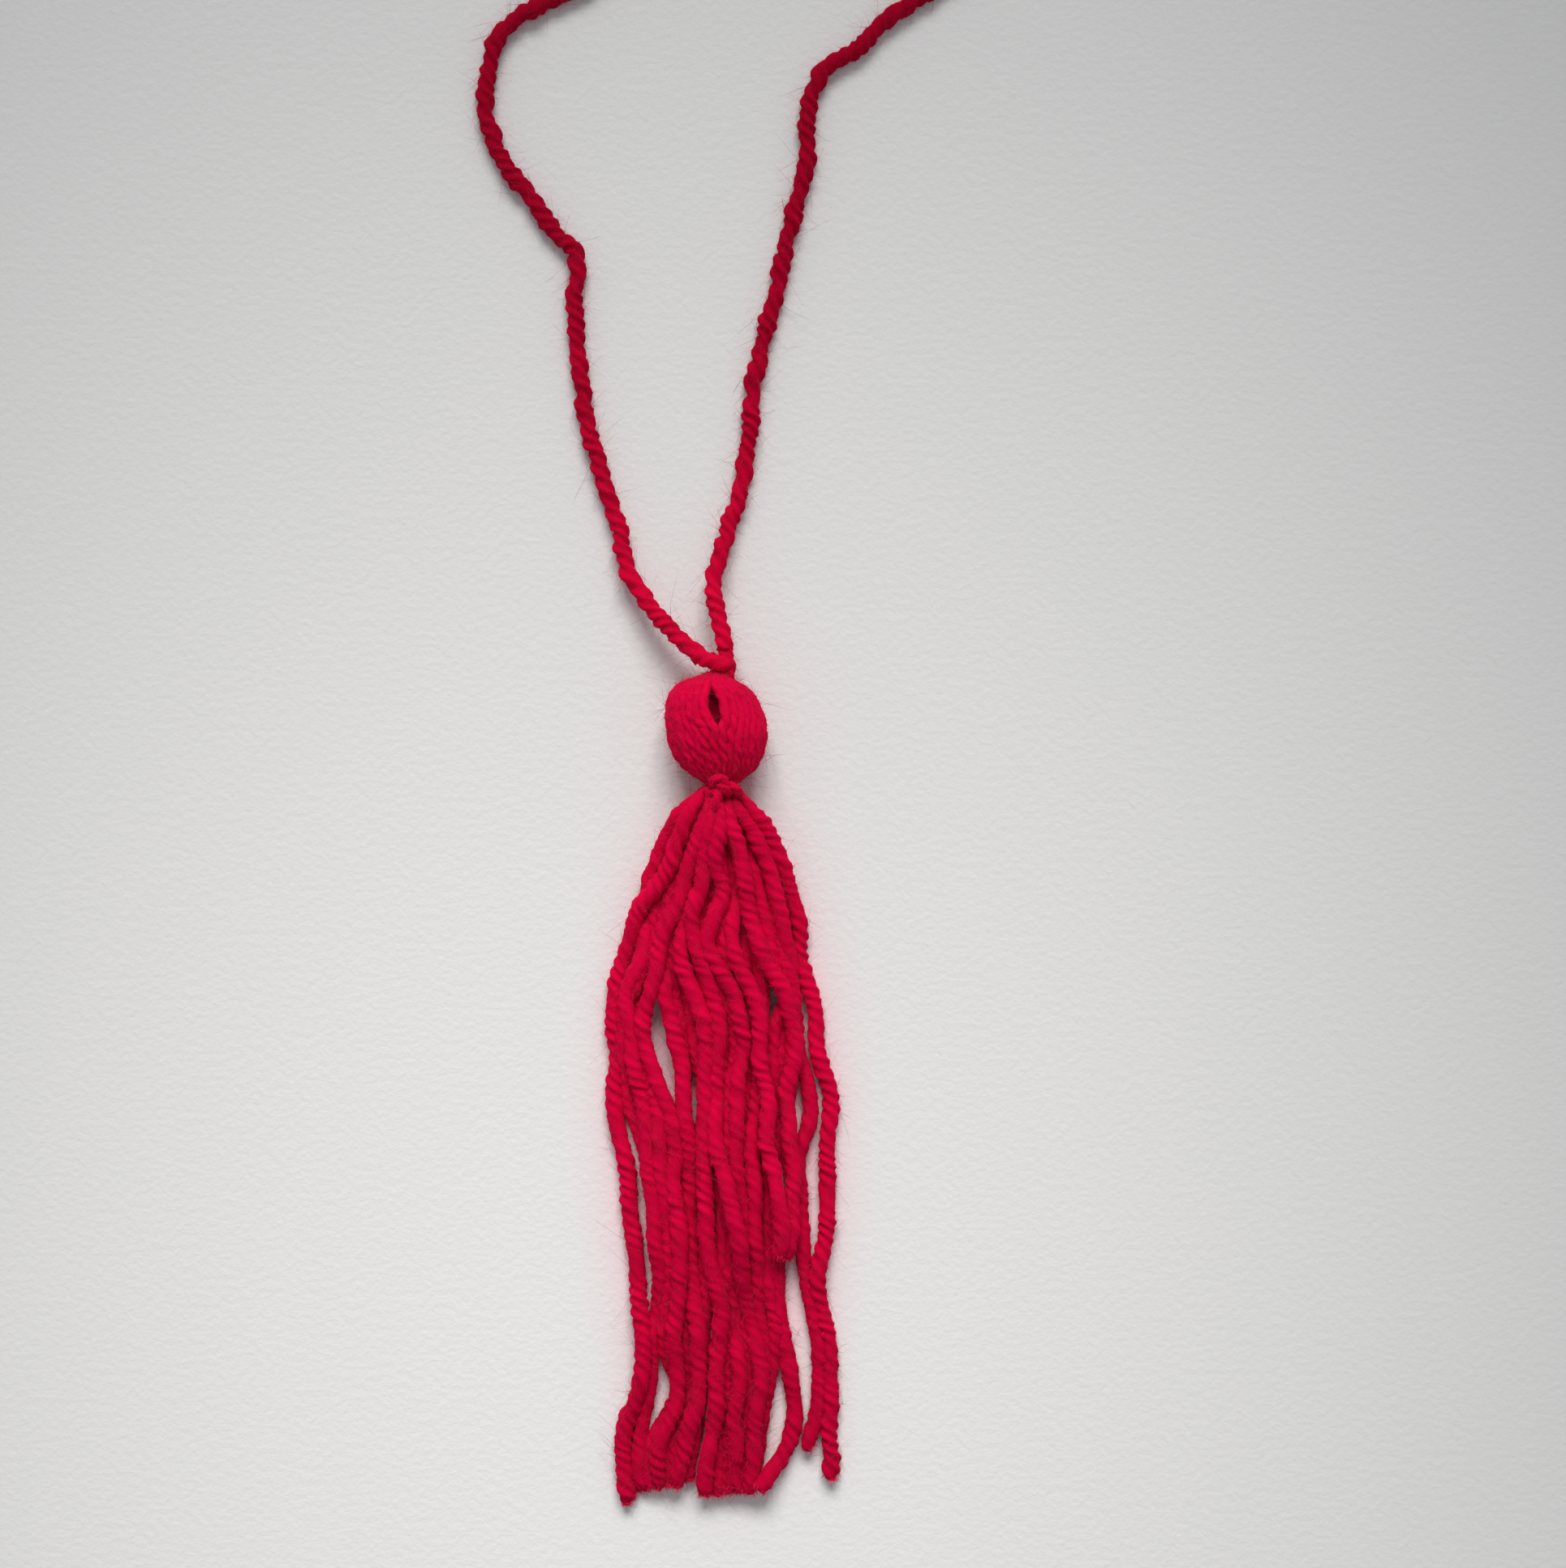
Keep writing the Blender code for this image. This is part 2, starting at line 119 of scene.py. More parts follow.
# The skirt. A strand's points are measured in the photograph: pixels across and down. The third number is
# the height of its middle in mm, where it doesn't rest on the floor
ORIGIN_PIXEL = (890, 1340)
PIXEL = 0.1
SKIRT_MIDDLE = 872
REST_HEIGHT = 1.0
STRANDS = (
    ("left_outer", (
        (870, 974, 5.0), (862, 985, 5.4), (848, 1005, 5.6), (838, 1030, 5.2), (832, 1046, 4.9),
        (827, 1065, 4.5), (815, 1085, 4.0), (803, 1100, 3.6), (791, 1114, 3.1), (784, 1133, 2.5),
        (778, 1156, 1.8), (768, 1184, 1.3), (761, 1212), (757, 1245), (758, 1275, 1.1), (761, 1302, 1.1),
        (757, 1335), (759, 1366), (763, 1396), (769, 1426), (775, 1460), (779, 1500), (782, 1540),
        (786, 1580), (791, 1620, 1.5), (792, 1660, 2.2), (790, 1700, 2.3), (783, 1730, 1.8),
        (773, 1751, 1.2), (768, 1776), (768, 1802), (771, 1827), (776, 1850),
    )),
    ("left_inner", (
        (866, 974, 4.4), (855, 984, 4.8), (838, 1003, 4.6), (827, 1022, 3.8), (816, 1045, 3.0),
        (807, 1068, 2.4), (800, 1090, 1.5), (797, 1112, 1.1), (797, 1140, 1.9), (794, 1165, 2.6),
        (788, 1187, 2.8), (779, 1206, 2.6), (773, 1228, 2.4), (774, 1255, 2.5), (777, 1280, 2.5),
        (781, 1305, 2.4), (786, 1330, 2.6), (791, 1356, 2.6), (795, 1385, 2.6), (797, 1415, 2.4),
        (801, 1450, 2.3), (803, 1480, 2.5), (806, 1510, 2.6), (809, 1540, 2.5), (813, 1567, 2.0),
        (812, 1600, 1.2), (806, 1640), (801, 1680), (799, 1710), (794, 1745), (789, 1775), (788, 1806),
        (791, 1836),
    )),
    ("left_loop", (
        (876, 976, 5.6), (872, 1003, 6.2), (865, 1022, 6.0), (858, 1045, 5.6), (850, 1063, 5.2),
        (844, 1085, 4.8), (838, 1105, 4.5), (829, 1125, 4.2), (820, 1146, 4.0), (814, 1171, 3.8),
        (809, 1198, 3.5), (801, 1222, 3.0), (794, 1246, 2.6), (792, 1270, 2.5), (797, 1294, 2.6),
        (804, 1316, 2.6), (811, 1337, 2.7), (819, 1357, 2.7), (826, 1378, 2.7), (831, 1400, 2.6),
        (833, 1425, 2.5), (829, 1451, 2.6), (831, 1476, 2.6), (835, 1500, 2.7), (839, 1530, 2.7),
        (838, 1560, 2.7), (836, 1590, 2.6), (833, 1620, 2.6), (831, 1650, 2.6), (833, 1680, 2.5),
        (834, 1706, 2.5), (831, 1735, 2.5), (823, 1756, 2.5), (815, 1773, 2.4), (811, 1791, 2.2),
        (811, 1812, 1.8), (815, 1834, 1.4),
    )),
    ("left_gap_side", (
        (872, 977, 4.6), (862, 1010, 4.6), (852, 1040, 3.8), (844, 1065, 3.2), (838, 1090, 3.0),
        (833, 1120, 2.8), (827, 1150, 2.6), (822, 1180, 2.4), (820, 1206, 2.6), (822, 1232, 2.7),
        (828, 1262, 2.7), (835, 1290, 2.8), (840, 1315, 2.8), (842, 1340, 2.7), (843, 1365, 2.7),
        (846, 1392, 2.7), (849, 1420, 2.3), (850, 1455, 1.2), (851, 1500), (852, 1540), (853, 1580, 1.3),
        (857, 1612, 2.2), (860, 1640, 2.7), (861, 1670, 2.7), (861, 1700, 2.8), (859, 1726, 2.8),
        (854, 1746, 2.7), (848, 1766, 2.6), (844, 1785, 2.5), (839, 1806, 2.2), (834, 1829, 1.7),
    )),
    ("middle_column", (
        (876, 978, 4.2), (868, 1020, 4.0), (860, 1060, 3.8), (853, 1105, 3.2), (846, 1136, 3.8),
        (841, 1158, 4.2), (840, 1180, 4.3), (845, 1200, 4.3), (852, 1219, 4.2), (860, 1240, 4.2),
        (867, 1262, 4.2), (870, 1286, 4.0), (870, 1315, 3.6), (869, 1345, 3.2), (869, 1375, 3.0),
        (867, 1405, 2.9), (868, 1435, 2.9), (869, 1465, 3.0), (870, 1495, 3.2), (871, 1525, 3.2),
        (876, 1560, 2.9), (884, 1590, 2.7), (888, 1616, 2.6), (887, 1650, 2.5), (884, 1680, 2.6),
        (882, 1706, 2.6), (881, 1740, 2.7), (878, 1766, 2.7), (874, 1790, 2.6), (870, 1814, 2.4),
        (869, 1843, 1.8),
    )),
    ("middle_hump", (
        (880, 976, 5.8), (878, 1003, 6.4), (873, 1024, 6.2), (868, 1050, 5.8), (867, 1075, 5.6),
        (864, 1095, 5.5), (857, 1112, 5.3), (852, 1130, 5.0), (854, 1150, 4.8), (859, 1170, 4.6),
        (866, 1190, 4.4), (873, 1212, 4.2), (880, 1235, 4.0), (886, 1260, 3.9), (887, 1285, 3.7),
        (883, 1310, 3.4), (881, 1336, 3.2), (881, 1366, 3.3), (882, 1395, 3.6), (885, 1422, 4.0),
        (891, 1447, 4.5), (898, 1473, 5.0), (904, 1498, 5.2), (909, 1523, 5.0), (913, 1548, 4.2),
        (916, 1573, 3.2), (918, 1600, 2.0), (923, 1626, 1.6), (931, 1650, 2.0), (937, 1675, 2.3),
        (938, 1700, 2.4), (934, 1728, 2.4), (931, 1757, 2.4), (928, 1788, 2.2), (926, 1815, 1.8),
        (924, 1838, 1.4),
    )),
    ("front_centre", (
        (886, 976, 6.0), (887, 1003, 6.7), (887, 1022, 6.6), (883, 1042, 6.3), (881, 1060, 6.0),
        (884, 1078, 5.6), (890, 1092, 5.2), (889, 1108, 5.1), (881, 1125, 5.2), (875, 1146, 5.0),
        (872, 1165, 4.8), (880, 1185, 4.6), (891, 1202, 4.5), (902, 1218, 4.4), (909, 1240, 4.2),
        (914, 1262, 3.8), (915, 1286, 3.4), (911, 1311, 3.2), (909, 1336, 3.2), (910, 1362, 3.2),
        (908, 1392, 3.2), (905, 1420, 3.1), (908, 1448, 2.8), (914, 1476, 2.5), (920, 1502, 2.2),
        (921, 1532, 2.0), (917, 1566, 1.5), (911, 1600), (908, 1640, 1.2), (909, 1675, 2.0),
        (912, 1700, 2.4), (907, 1728, 2.5), (904, 1751, 2.6), (907, 1776, 2.6), (906, 1802, 2.4),
        (905, 1836, 1.8),
    )),
    ("right_column", (
        (890, 977, 4.0), (894, 1005, 3.4), (897, 1040, 2.6), (899, 1078, 2.5), (903, 1105, 3.5),
        (904, 1130, 4.4), (902, 1155, 4.7), (905, 1178, 4.7), (913, 1197, 4.6), (924, 1214, 4.5),
        (932, 1233, 4.4), (936, 1256, 4.2), (936, 1280, 3.8), (937, 1303, 3.6), (941, 1327, 3.4),
        (945, 1352, 3.4), (947, 1377, 3.6), (946, 1402, 3.8), (949, 1428, 4.0), (954, 1452, 4.2),
        (960, 1478, 4.4), (964, 1503, 4.4), (963, 1528, 4.0), (958, 1550, 3.5),
    )),
    ("right_short", (
        (895, 977, 5.6), (899, 1008, 6.3), (905, 1030, 6.0), (911, 1050, 5.6), (915, 1072, 5.3),
        (919, 1095, 5.0), (923, 1120, 4.8), (928, 1145, 4.6), (936, 1168, 4.4), (946, 1190, 4.2),
        (957, 1207, 4.0), (966, 1224, 3.7), (973, 1246, 3.4), (978, 1268, 3.2), (980, 1292, 3.0),
        (977, 1316, 2.9), (972, 1337, 2.8), (970, 1358, 2.8), (972, 1382, 2.8), (974, 1404, 2.8),
        (977, 1430, 2.8), (978, 1456, 2.9), (977, 1482, 3.1), (975, 1506, 3.2), (973, 1530, 3.0),
        (969, 1552, 2.7),
    )),
    ("right_second", (
        (902, 976, 5.2), (907, 992, 5.8), (918, 1010, 5.6), (929, 1027, 5.2), (938, 1045, 4.8),
        (946, 1065, 4.4), (952, 1085, 4.0), (957, 1108, 3.8), (962, 1131, 3.6), (968, 1153, 3.0),
        (973, 1176, 2.4), (975, 1200, 1.8), (975, 1225, 1.3), (977, 1251), (981, 1276), (986, 1300),
        (993, 1325), (998, 1350), (998, 1372), (993, 1394), (987, 1415, 1.1), (985, 1440, 1.2),
        (986, 1470, 1.2), (986, 1500, 1.1), (988, 1530), (992, 1560), (997, 1590), (1003, 1620),
        (1007, 1650), (1010, 1680), (1010, 1710), (1008, 1735), (1003, 1755), (997, 1771), (994, 1786),
    )),
    ("right_outer", (
        (908, 975, 4.4), (917, 985, 4.9), (931, 1003, 4.8), (943, 1018, 4.4), (952, 1037, 3.9),
        (959, 1055, 3.4), (967, 1072, 2.8), (972, 1090, 2.4), (977, 1110, 2.0), (983, 1131, 1.6),
        (986, 1154, 1.2), (986, 1180), (992, 1204), (1000, 1231), (1006, 1260), (1008, 1290), (1013, 1316),
        (1021, 1341), (1024, 1369), (1021, 1400), (1019, 1430), (1020, 1460), (1020, 1490),
        (1018, 1516, 1.1), (1013, 1541, 1.4), (1009, 1566, 1.6), (1010, 1591, 1.4), (1013, 1616, 1.1),
        (1018, 1641), (1022, 1666), (1024, 1696), (1024, 1726), (1022, 1751), (1023, 1776), (1025, 1797),
        (1023, 1820),
    )),
    ("under_left_first", (
        (868, 974, 3.6), (856, 990, 3.2), (842, 1010, 2.4), (832, 1035, 1.8), (823, 1062, 1.4),
        (815, 1090, 1.2), (808, 1120), (806, 1150), (798, 1178), (787, 1206), (770, 1240), (768, 1275),
        (770, 1310), (773, 1345), (782, 1380), (796, 1415), (803, 1450), (806, 1480), (809, 1510),
        (813, 1545), (818, 1580), (822, 1615), (826, 1650), (834, 1685), (836, 1720), (816, 1752),
        (803, 1778), (800, 1806), (803, 1834),
    )),
    ("left_between", (
        (866, 975, 3.4), (854, 1010, 3.4), (842, 1045, 3.2), (832, 1085, 3.0), (822, 1120, 2.8),
        (811, 1150, 2.8), (802, 1177, 2.5), (790, 1200, 1.6), (782, 1225, 1.1), (783, 1255),
        (788, 1282, 1.2), (795, 1308, 1.6), (801, 1333, 2.0), (806, 1358, 2.3), (811, 1385, 2.5),
        (813, 1412, 2.5), (814, 1442, 2.4), (816, 1472, 2.3), (819, 1505, 2.0), (823, 1540, 1.7),
        (825, 1575, 1.6), (820, 1605, 1.5), (820, 1640, 1.4), (824, 1670, 1.1), (835, 1700), (838, 1730),
        (832, 1758), (822, 1784), (821, 1808), (824, 1832),
    )),
    ("under_left_second", (
        (872, 975, 3.0), (862, 1002, 2.4), (852, 1035, 1.8), (844, 1066, 1.5), (837, 1098, 1.2),
        (832, 1130), (830, 1160), (828, 1190), (831, 1218), (836, 1248), (841, 1275), (844, 1305),
        (842, 1335), (841, 1365), (841, 1400), (836, 1430), (832, 1470), (832, 1510), (834, 1560),
        (839, 1600), (845, 1640), (849, 1680), (849, 1718), (845, 1750), (836, 1777), (833, 1802),
        (836, 1829),
    )),
    ("under_left_third", (
        (874, 976, 2.6), (866, 1010, 2.2), (857, 1050, 1.8), (852, 1090, 1.4), (850, 1130, 1.2),
        (846, 1170), (847, 1206), (852, 1240), (855, 1272), (860, 1305), (868, 1332), (870, 1360),
        (866, 1385), (862, 1405), (866, 1440), (870, 1480), (871, 1520), (871, 1560), (870, 1600),
        (868, 1640), (866, 1680), (863, 1716), (860, 1746), (854, 1776), (848, 1801), (849, 1822),
    )),
    ("under_middle_first", (
        (880, 977, 2.6), (873, 1015, 2.2), (867, 1060, 1.8), (864, 1105, 1.4), (865, 1150), (864, 1195),
        (870, 1235), (876, 1270), (880, 1305), (884, 1340), (886, 1380), (888, 1420), (889, 1460),
        (890, 1500), (891, 1540), (892, 1580), (894, 1615), (897, 1650), (898, 1685), (897, 1720),
        (896, 1750), (897, 1780), (896, 1806), (895, 1838),
    )),
    ("under_middle_second", (
        (886, 978, 2.6), (882, 1020, 2.2), (880, 1065, 1.8), (882, 1110, 1.2), (887, 1155), (886, 1200),
        (890, 1240), (891, 1275), (889, 1320), (892, 1360), (895, 1400), (896, 1440), (894, 1480),
        (897, 1520), (900, 1560), (903, 1600), (901, 1640), (903, 1680), (902, 1720), (899, 1752),
        (901, 1782), (903, 1810), (906, 1838),
    )),
    ("under_middle_third", (
        (892, 978, 2.6), (896, 1020, 2.2), (902, 1065, 1.6), (910, 1110, 1.2), (917, 1155), (918, 1195),
        (921, 1230), (923, 1262), (922, 1295), (920, 1330), (918, 1370), (917, 1410), (919, 1450),
        (916, 1490), (912, 1530), (912, 1570), (917, 1610), (921, 1650), (923, 1690), (921, 1730),
        (915, 1770), (914, 1805), (915, 1840),
    )),
    ("under_centre", (
        (890, 977, 3.2), (889, 1015, 2.6), (889, 1060, 2.2), (893, 1105, 1.8), (894, 1150, 1.6),
        (894, 1190, 1.4), (899, 1225, 1.2), (905, 1255, 1.4), (907, 1290, 1.6), (903, 1325, 1.8),
        (899, 1360, 1.8), (897, 1395, 1.8), (899, 1430, 1.6), (904, 1465, 1.4), (906, 1500, 1.2),
        (900, 1540, 1.1), (896, 1580, 1.2), (893, 1615), (891, 1655), (889, 1700), (888, 1740), (888, 1780),
        (886, 1812), (884, 1842),
    )),
    ("under_right_first", (
        (897, 977, 2.8), (904, 1015, 2.4), (912, 1060, 2.2), (922, 1105, 2.0), (932, 1150, 1.8),
        (937, 1190, 1.4), (938, 1228), (939, 1262), (938, 1300, 1.2), (933, 1335, 1.4), (930, 1370, 1.6),
        (927, 1402, 2.2), (926, 1432, 2.6), (929, 1462, 2.8), (931, 1492, 2.8), (931, 1520, 2.6),
        (931, 1548, 2.0), (932, 1580, 1.5), (935, 1615, 1.2), (941, 1650), (946, 1685), (942, 1720),
        (936, 1755), (932, 1790), (930, 1812),
    )),
    ("under_right_dark", (
        (900, 976, 3.2), (912, 1015, 2.8), (924, 1060, 2.4), (936, 1105, 2.2), (945, 1145, 1.8),
        (951, 1180, 1.5), (960, 1205, 1.2), (968, 1230), (960, 1255), (954, 1285), (952, 1330), (951, 1380),
        (948, 1420), (944, 1460), (946, 1500), (947, 1540), (948, 1580), (952, 1610, 1.2), (956, 1640, 1.2),
        (953, 1672), (946, 1706), (939, 1745), (934, 1780), (930, 1815), (929, 1836),
    )),
    ("right_curl", (
        (902, 976, 3.4), (913, 1020, 3.0), (922, 1065, 2.6), (930, 1108, 2.4), (939, 1150, 2.2),
        (952, 1186, 2.0), (966, 1214, 1.6), (970, 1244, 1.3), (966, 1275, 1.1), (962, 1305), (960, 1338),
        (960, 1372), (957, 1410), (951, 1450), (952, 1490), (955, 1530), (958, 1570), (960, 1602),
        (962, 1630), (966, 1658), (973, 1688), (978, 1716), (980, 1743), (975, 1770), (963, 1794, 1.2),
        (948, 1814, 2.0), (934, 1837, 2.6),
    )),
    ("under_right_second", (
        (906, 975, 3.0), (921, 1010, 2.4), (935, 1048, 1.8), (945, 1088, 1.4), (953, 1128, 1.2),
        (962, 1166), (972, 1202), (978, 1238), (977, 1274), (975, 1310), (971, 1342), (968, 1375),
        (970, 1405), (975, 1436), (978, 1470), (977, 1505), (974, 1540),
    )),
)
STRAND_WANDER = 0.12
STRAND_SWELL = 0.05
STRAND_SIZES = (1.01, 1.09)
# Below the neck the plies grow deeper: mm along the strand, and their share of the full depth
NECK_PLACES = (0, 4, 16)
NECK_RELIEF = (0.5, 0.9, 1.0)

# How much higher the under strands lie than measured: the photograph's pixels down, and mm
LIFT_PLACES = (1000, 1060, 1180, 1260, 1340)
LIFT_HEIGHTS = (0.0, 1.0, 1.5, 0.9, 0.0)
# Those in the middle are lifted more: pixels across and their share of it, then pixels down and mm
MIDDLE_PLACES = (846, 860, 904, 918)
MIDDLE_SHARES = (0.0, 1.0, 1.0, 0.0)
MIDDLE_ALONG = (1000, 1060, 1180, 1260, 1340, 1560, 1640)
MIDDLE_LIFTS = (0.2, 1.0, 1.0, 0.7, 0.6, 0.6, 0.0)

# The tie round the neck and its knot in front, in millimetres
NECK_ALONG = 36.6
TIE_REACH = (2.05, 2.35)
TIE_CENTRE = (-0.1, 4.2)
TIE_SIZE = 0.56
TIE_PITCH = 3.4
TIE_KNOT_SIZE = 0.55
TIE_KNOT_PITCH = 3.2
TIE_BUMPS = (((-1.1, 37.3, 6.5), (-0.9, 37.9, 7.2), (-0.2, 38.1, 7.5), (0.4, 37.8, 7.4), (0.6, 37.3, 6.9)),
             ((-0.3, 37.5, 6.8), (0.1, 37.1, 7.4), (0.6, 36.7, 7.4), (1.0, 36.3, 6.7)))
TIE_TAILS = (((1.0, 37.3, 6.5), (1.6, 37.0, 7.0), (2.1, 36.6, 6.8), (2.5, 36.2, 6.2)),
             ((-0.1, 36.8, 7.0), (-0.5, 35.8, 7.2), (-0.65, 34.7, 7.1), (-0.6, 34.0, 6.8)))

# The hanging cord, as in the model: from the left of its knot round to the top of it, in millimetres
CORD_ROUTE = (
    (-2.5, 52.8, 4.4), (-5.7, 55.7, 4.1), (-9.0, 59.5, 3.2), (-11.5, 63.5, 2.1), (-12.6, 68.2, 1.4),
    (-15.0, 76.0, 1.1), (-17.0, 83.8, 1.1), (-18.3, 96.0, 1.1), (-17.8, 100.8, 1.1), (-18.6, 103.5, 1.1),
    (-20.8, 105.7, 1.1), (-24.0, 110.2, 1.1), (-27.6, 115.2, 1.1), (-29.3, 121.4, 1.1), (-28.2, 128.4, 1.1),
    (-25.2, 132.1, 1.1), (-19.0, 135.2, 1.1), (-12.0, 139.2, 1.1), (0.0, 145.2, 1.1), (13.0, 150.3, 1.1),
    (25.0, 151.0, 1.1), (31.4, 147.0, 1.1), (31.2, 140.6, 1.1), (26.6, 136.2, 1.1), (20.0, 131.6, 1.1),
    (16.4, 128.0, 1.1), (13.6, 126.5, 1.1), (11.6, 124.2, 1.1), (10.5, 119.8, 1.1), (10.2, 113.4, 1.1),
    (8.4, 106.5, 1.1), (6.6, 98.0, 1.1), (4.3, 89.0, 1.1), (3.4, 81.5, 1.1), (2.4, 74.8, 1.1),
    (0.4, 67.6, 1.7), (-0.9, 63.2, 2.7), (-0.7, 58.8, 3.7), (0.2, 55.2, 4.4), (0.3, 53.8, 4.6),
)
CORD_SIZE = 1.02
CORD_SWELL = 0.09
CORD_WANDER = 0.16
CORD_RELIEF = 1.6

# The knot on top of the head: a wrap in front of the cord's right leg, and its tail into the head
KNOT_CENTRE = (-0.15, 52.2, 4.6)
KNOT_WRAP = ((-3.1, 53.3, 4.4), (-1.9, 52.6, 5.0), (-0.5, 52.2, 5.6), (0.4, 52.0, 5.3), (0.75, 51.9, 4.4),
             (0.3, 52.0, 3.6), (-0.8, 52.3, 3.6), (-1.2, 52.6, 4.2))
KNOT_STEM = ((0.3, 55.2, 4.45), (0.3, 54.2, 4.6), (0.5, 53.0, 4.55), (0.8, 51.6, 4.7), (0.7, 50.2, 4.8))
KNOT_PITCH = 5.0
WRAP_SIZE = 0.98
STEM_PLACES = (0.0, 2.0, 3.4, 5.0)
STEM_SIZES = (0.6, 0.97, 0.95, 0.75)

# Loose fibres, in millimetres: short fuzz, long hairs, and tufts at the cut ends. RISE is how steeply they
# stand off the yarn, ROOT how deep they start in it, and FIBRE_PARTS where along one its sections are
FUZZ_RADIUS = 0.020
FUZZ_LENGTH = (0.18, 0.62)
FUZZ_RISE = (0.35, 1.6)
HAIR_RADIUS = 0.018
HAIR_LENGTH = (0.5, 2.8)
HAIR_RISE = (0.3, 1.2)
FIBRE_ROOT = 0.06
FIBRE_PARTS = (0.0, 0.4, 0.75)
FIBRE_TAPER = 0.55
TUFT_FIBRES = 150
TUFT_CLUMPS = 6
TUFT_ROOT = 0.45
TUFT_LENGTH = (0.35, 0.9)
TUFT_RADIUS = (0.025, 0.06)
# How many short and long fibres start on each millimetre of yarn
FIBRE_AMOUNTS = {"cord": (60, 10.0), "head": (40, 4.5), "tie": (60, 2.0), "knot": (55, 4.0),
                 "skirt_left": (36, 6.0), "skirt_right": (36, 6.0)}

# Colours. The yarn's go from light to deep with painted shade in its ply valleys and along Y, and in random
# patches
LIGHT_RED = (0.70, 0.0008, 0.050, 1.0)
DEEP_RED = (0.42, 0.0003, 0.027, 1.0)
HEAD_LIGHT_RED = (0.80, 0.0008, 0.057, 1.0)
HEAD_DEEP_RED = (0.46, 0.0003, 0.030, 1.0)
# The cord's deep red is darker than the skirt's, which deepens its painted shade along Y
CORD_LIGHT_RED = (0.70, 0.001, 0.040, 1.0)
CORD_DEEP_RED = (0.36, 0.0004, 0.018, 1.0)
# Painted shade: the yarn inside the head, near-black as if in deep shadow
INNER_SHADE_RED = (0.10, 0.0004, 0.006, 1.0)
FUZZ_RED = (0.76, 0.002, 0.055, 1.0)
FUZZ_PALE = (0.88, 0.015, 0.09, 1.0)
HAIR_DARK = (0.27, 0.02, 0.035, 1.0)
HAIR_RED = (0.60, 0.03, 0.07, 1.0)
FLOOR_COLOUR = (0.79, 0.78, 0.77, 1.0)
# Painted bounce light: the pink of the paper close to the skirt
PAINTED_BOUNCE_COLOUR = (0.86, 0.60, 0.64, 1.0)
# How strong the painted shade in the ply valleys is
VALLEY_SHADE_SHARE = 0.06
# Painted shade: where along Y the yarn starts and ends going deeper in colour, in metres, and how far it
# goes. It stands in for the light falling off towards the skirt's tips and the cord's far end
SKIRT_PAINTED_SHADE = (0.0, -0.04, 0.5)
CORD_PAINTED_SHADE = (0.06, 0.13, 1.1)
# The oval of paper painted with the skirt's red bounce light, in metres
PAINTED_BOUNCE_MIDDLE = (0.0, -0.006, 0.0)
PAINTED_BOUNCE_REACH = (0.0205, 0.053, 1.0)
FLOOR_REACH = 1.5

# The light: panes of a window, across and up in metres
WINDOW_PANES = ((-0.28, 0.78), (0.0, 0.78), (0.28, 0.78), (-0.28, 1.12), (0.0, 1.12), (0.28, 1.12))
WINDOW_TARGET = (-0.014, -0.062, 0.0)
WINDOW_DISTANCE = 1.0
PANE_ENERGY = 15.1
PANE_CONE = 16.7
PANE_RADIUS = 0.12
PANE_COLOUR = (1.0, 0.99, 0.97)
SKY_COLOUR = (0.93, 0.96, 1.0, 1.0)
SKY_STRENGTH = 0.36


def make_camera():
    data = bpy.data.cameras.new("camera")
    data.sensor_width = SENSOR
    data.lens = SENSOR * CAMERA_DISTANCE / VIEW_HEIGHT
    data.clip_start = 0.01
    camera = bpy.data.objects.new("camera", data)
    bpy.context.collection.objects.link(camera)
    camera.location = (*CAMERA_CENTRE, CAMERA_HEIGHT)
    bpy.context.scene.camera = camera


def unit(vectors):
    return vectors / np.linalg.norm(vectors, axis=-1, keepdims=True)


def distance_along(line):
    steps = np.linalg.norm(np.diff(line, axis=0), axis=1)
    return np.concatenate(([0.0], np.cumsum(steps)))


def smooth_line(knots):
    """Points on a smooth curve through the given ones, about RING_STEP apart."""
    knots = np.asarray(knots, dtype=float)
    padded = np.vstack((2 * knots[0] - knots[1], knots, 2 * knots[-1] - knots[-2]))
    t = np.linspace(0.0, 1.0, 24, endpoint=False)[:, None]
    fine = []
    for index in range(len(knots) - 1):
        before, start, end, after = padded[index:index + 4]
        bend = (2 * before - 5 * start + 4 * end - after) * t ** 2
        turn = (3 * start - before - 3 * end + after) * t ** 3
        fine.append((2 * start + (end - before) * t + bend + turn) / 2)
    fine = np.vstack((*fine, knots[-1:]))
    travelled = distance_along(fine)
    goals = np.linspace(0.0, travelled[-1], max(3, round(travelled[-1] / RING_STEP) + 1))
    return np.column_stack([np.interp(goals, travelled, fine[:, axis]) for axis in range(3)])


def drift(travelled, wave, chance):
    """Smooth values from about -1 to 1 along a line, with waves of about the given length."""
    total = np.zeros(len(travelled))
    for _ in range(3):
        length = wave * chance.uniform(0.6, 1.7)
        total += np.sin(2 * math.pi * (travelled / length + chance.random()))
    return total / 2.2


def line_frames(line, up):
    """Unit vectors along the line, up and to the side, at each of its points."""
    along = unit(np.gradient(line, axis=0))
    up = np.broadcast_to(np.asarray(up, dtype=float), line.shape)
    over = unit(up - along * np.sum(along * up, axis=1, keepdims=True))
    return along, over, np.cross(along, over)


def ring_quads(rings, around):
    """The corners of each face between rings of points, with the same number in each ring."""
    ring = np.arange(rings - 1)[:, None] * around
    place = np.arange(around)[None]
    following = (place + 1) % around
    corners = (ring + place, ring + following, ring + around + following, ring + around + place)
    return np.stack(corners, axis=-1).reshape(-1, 4)


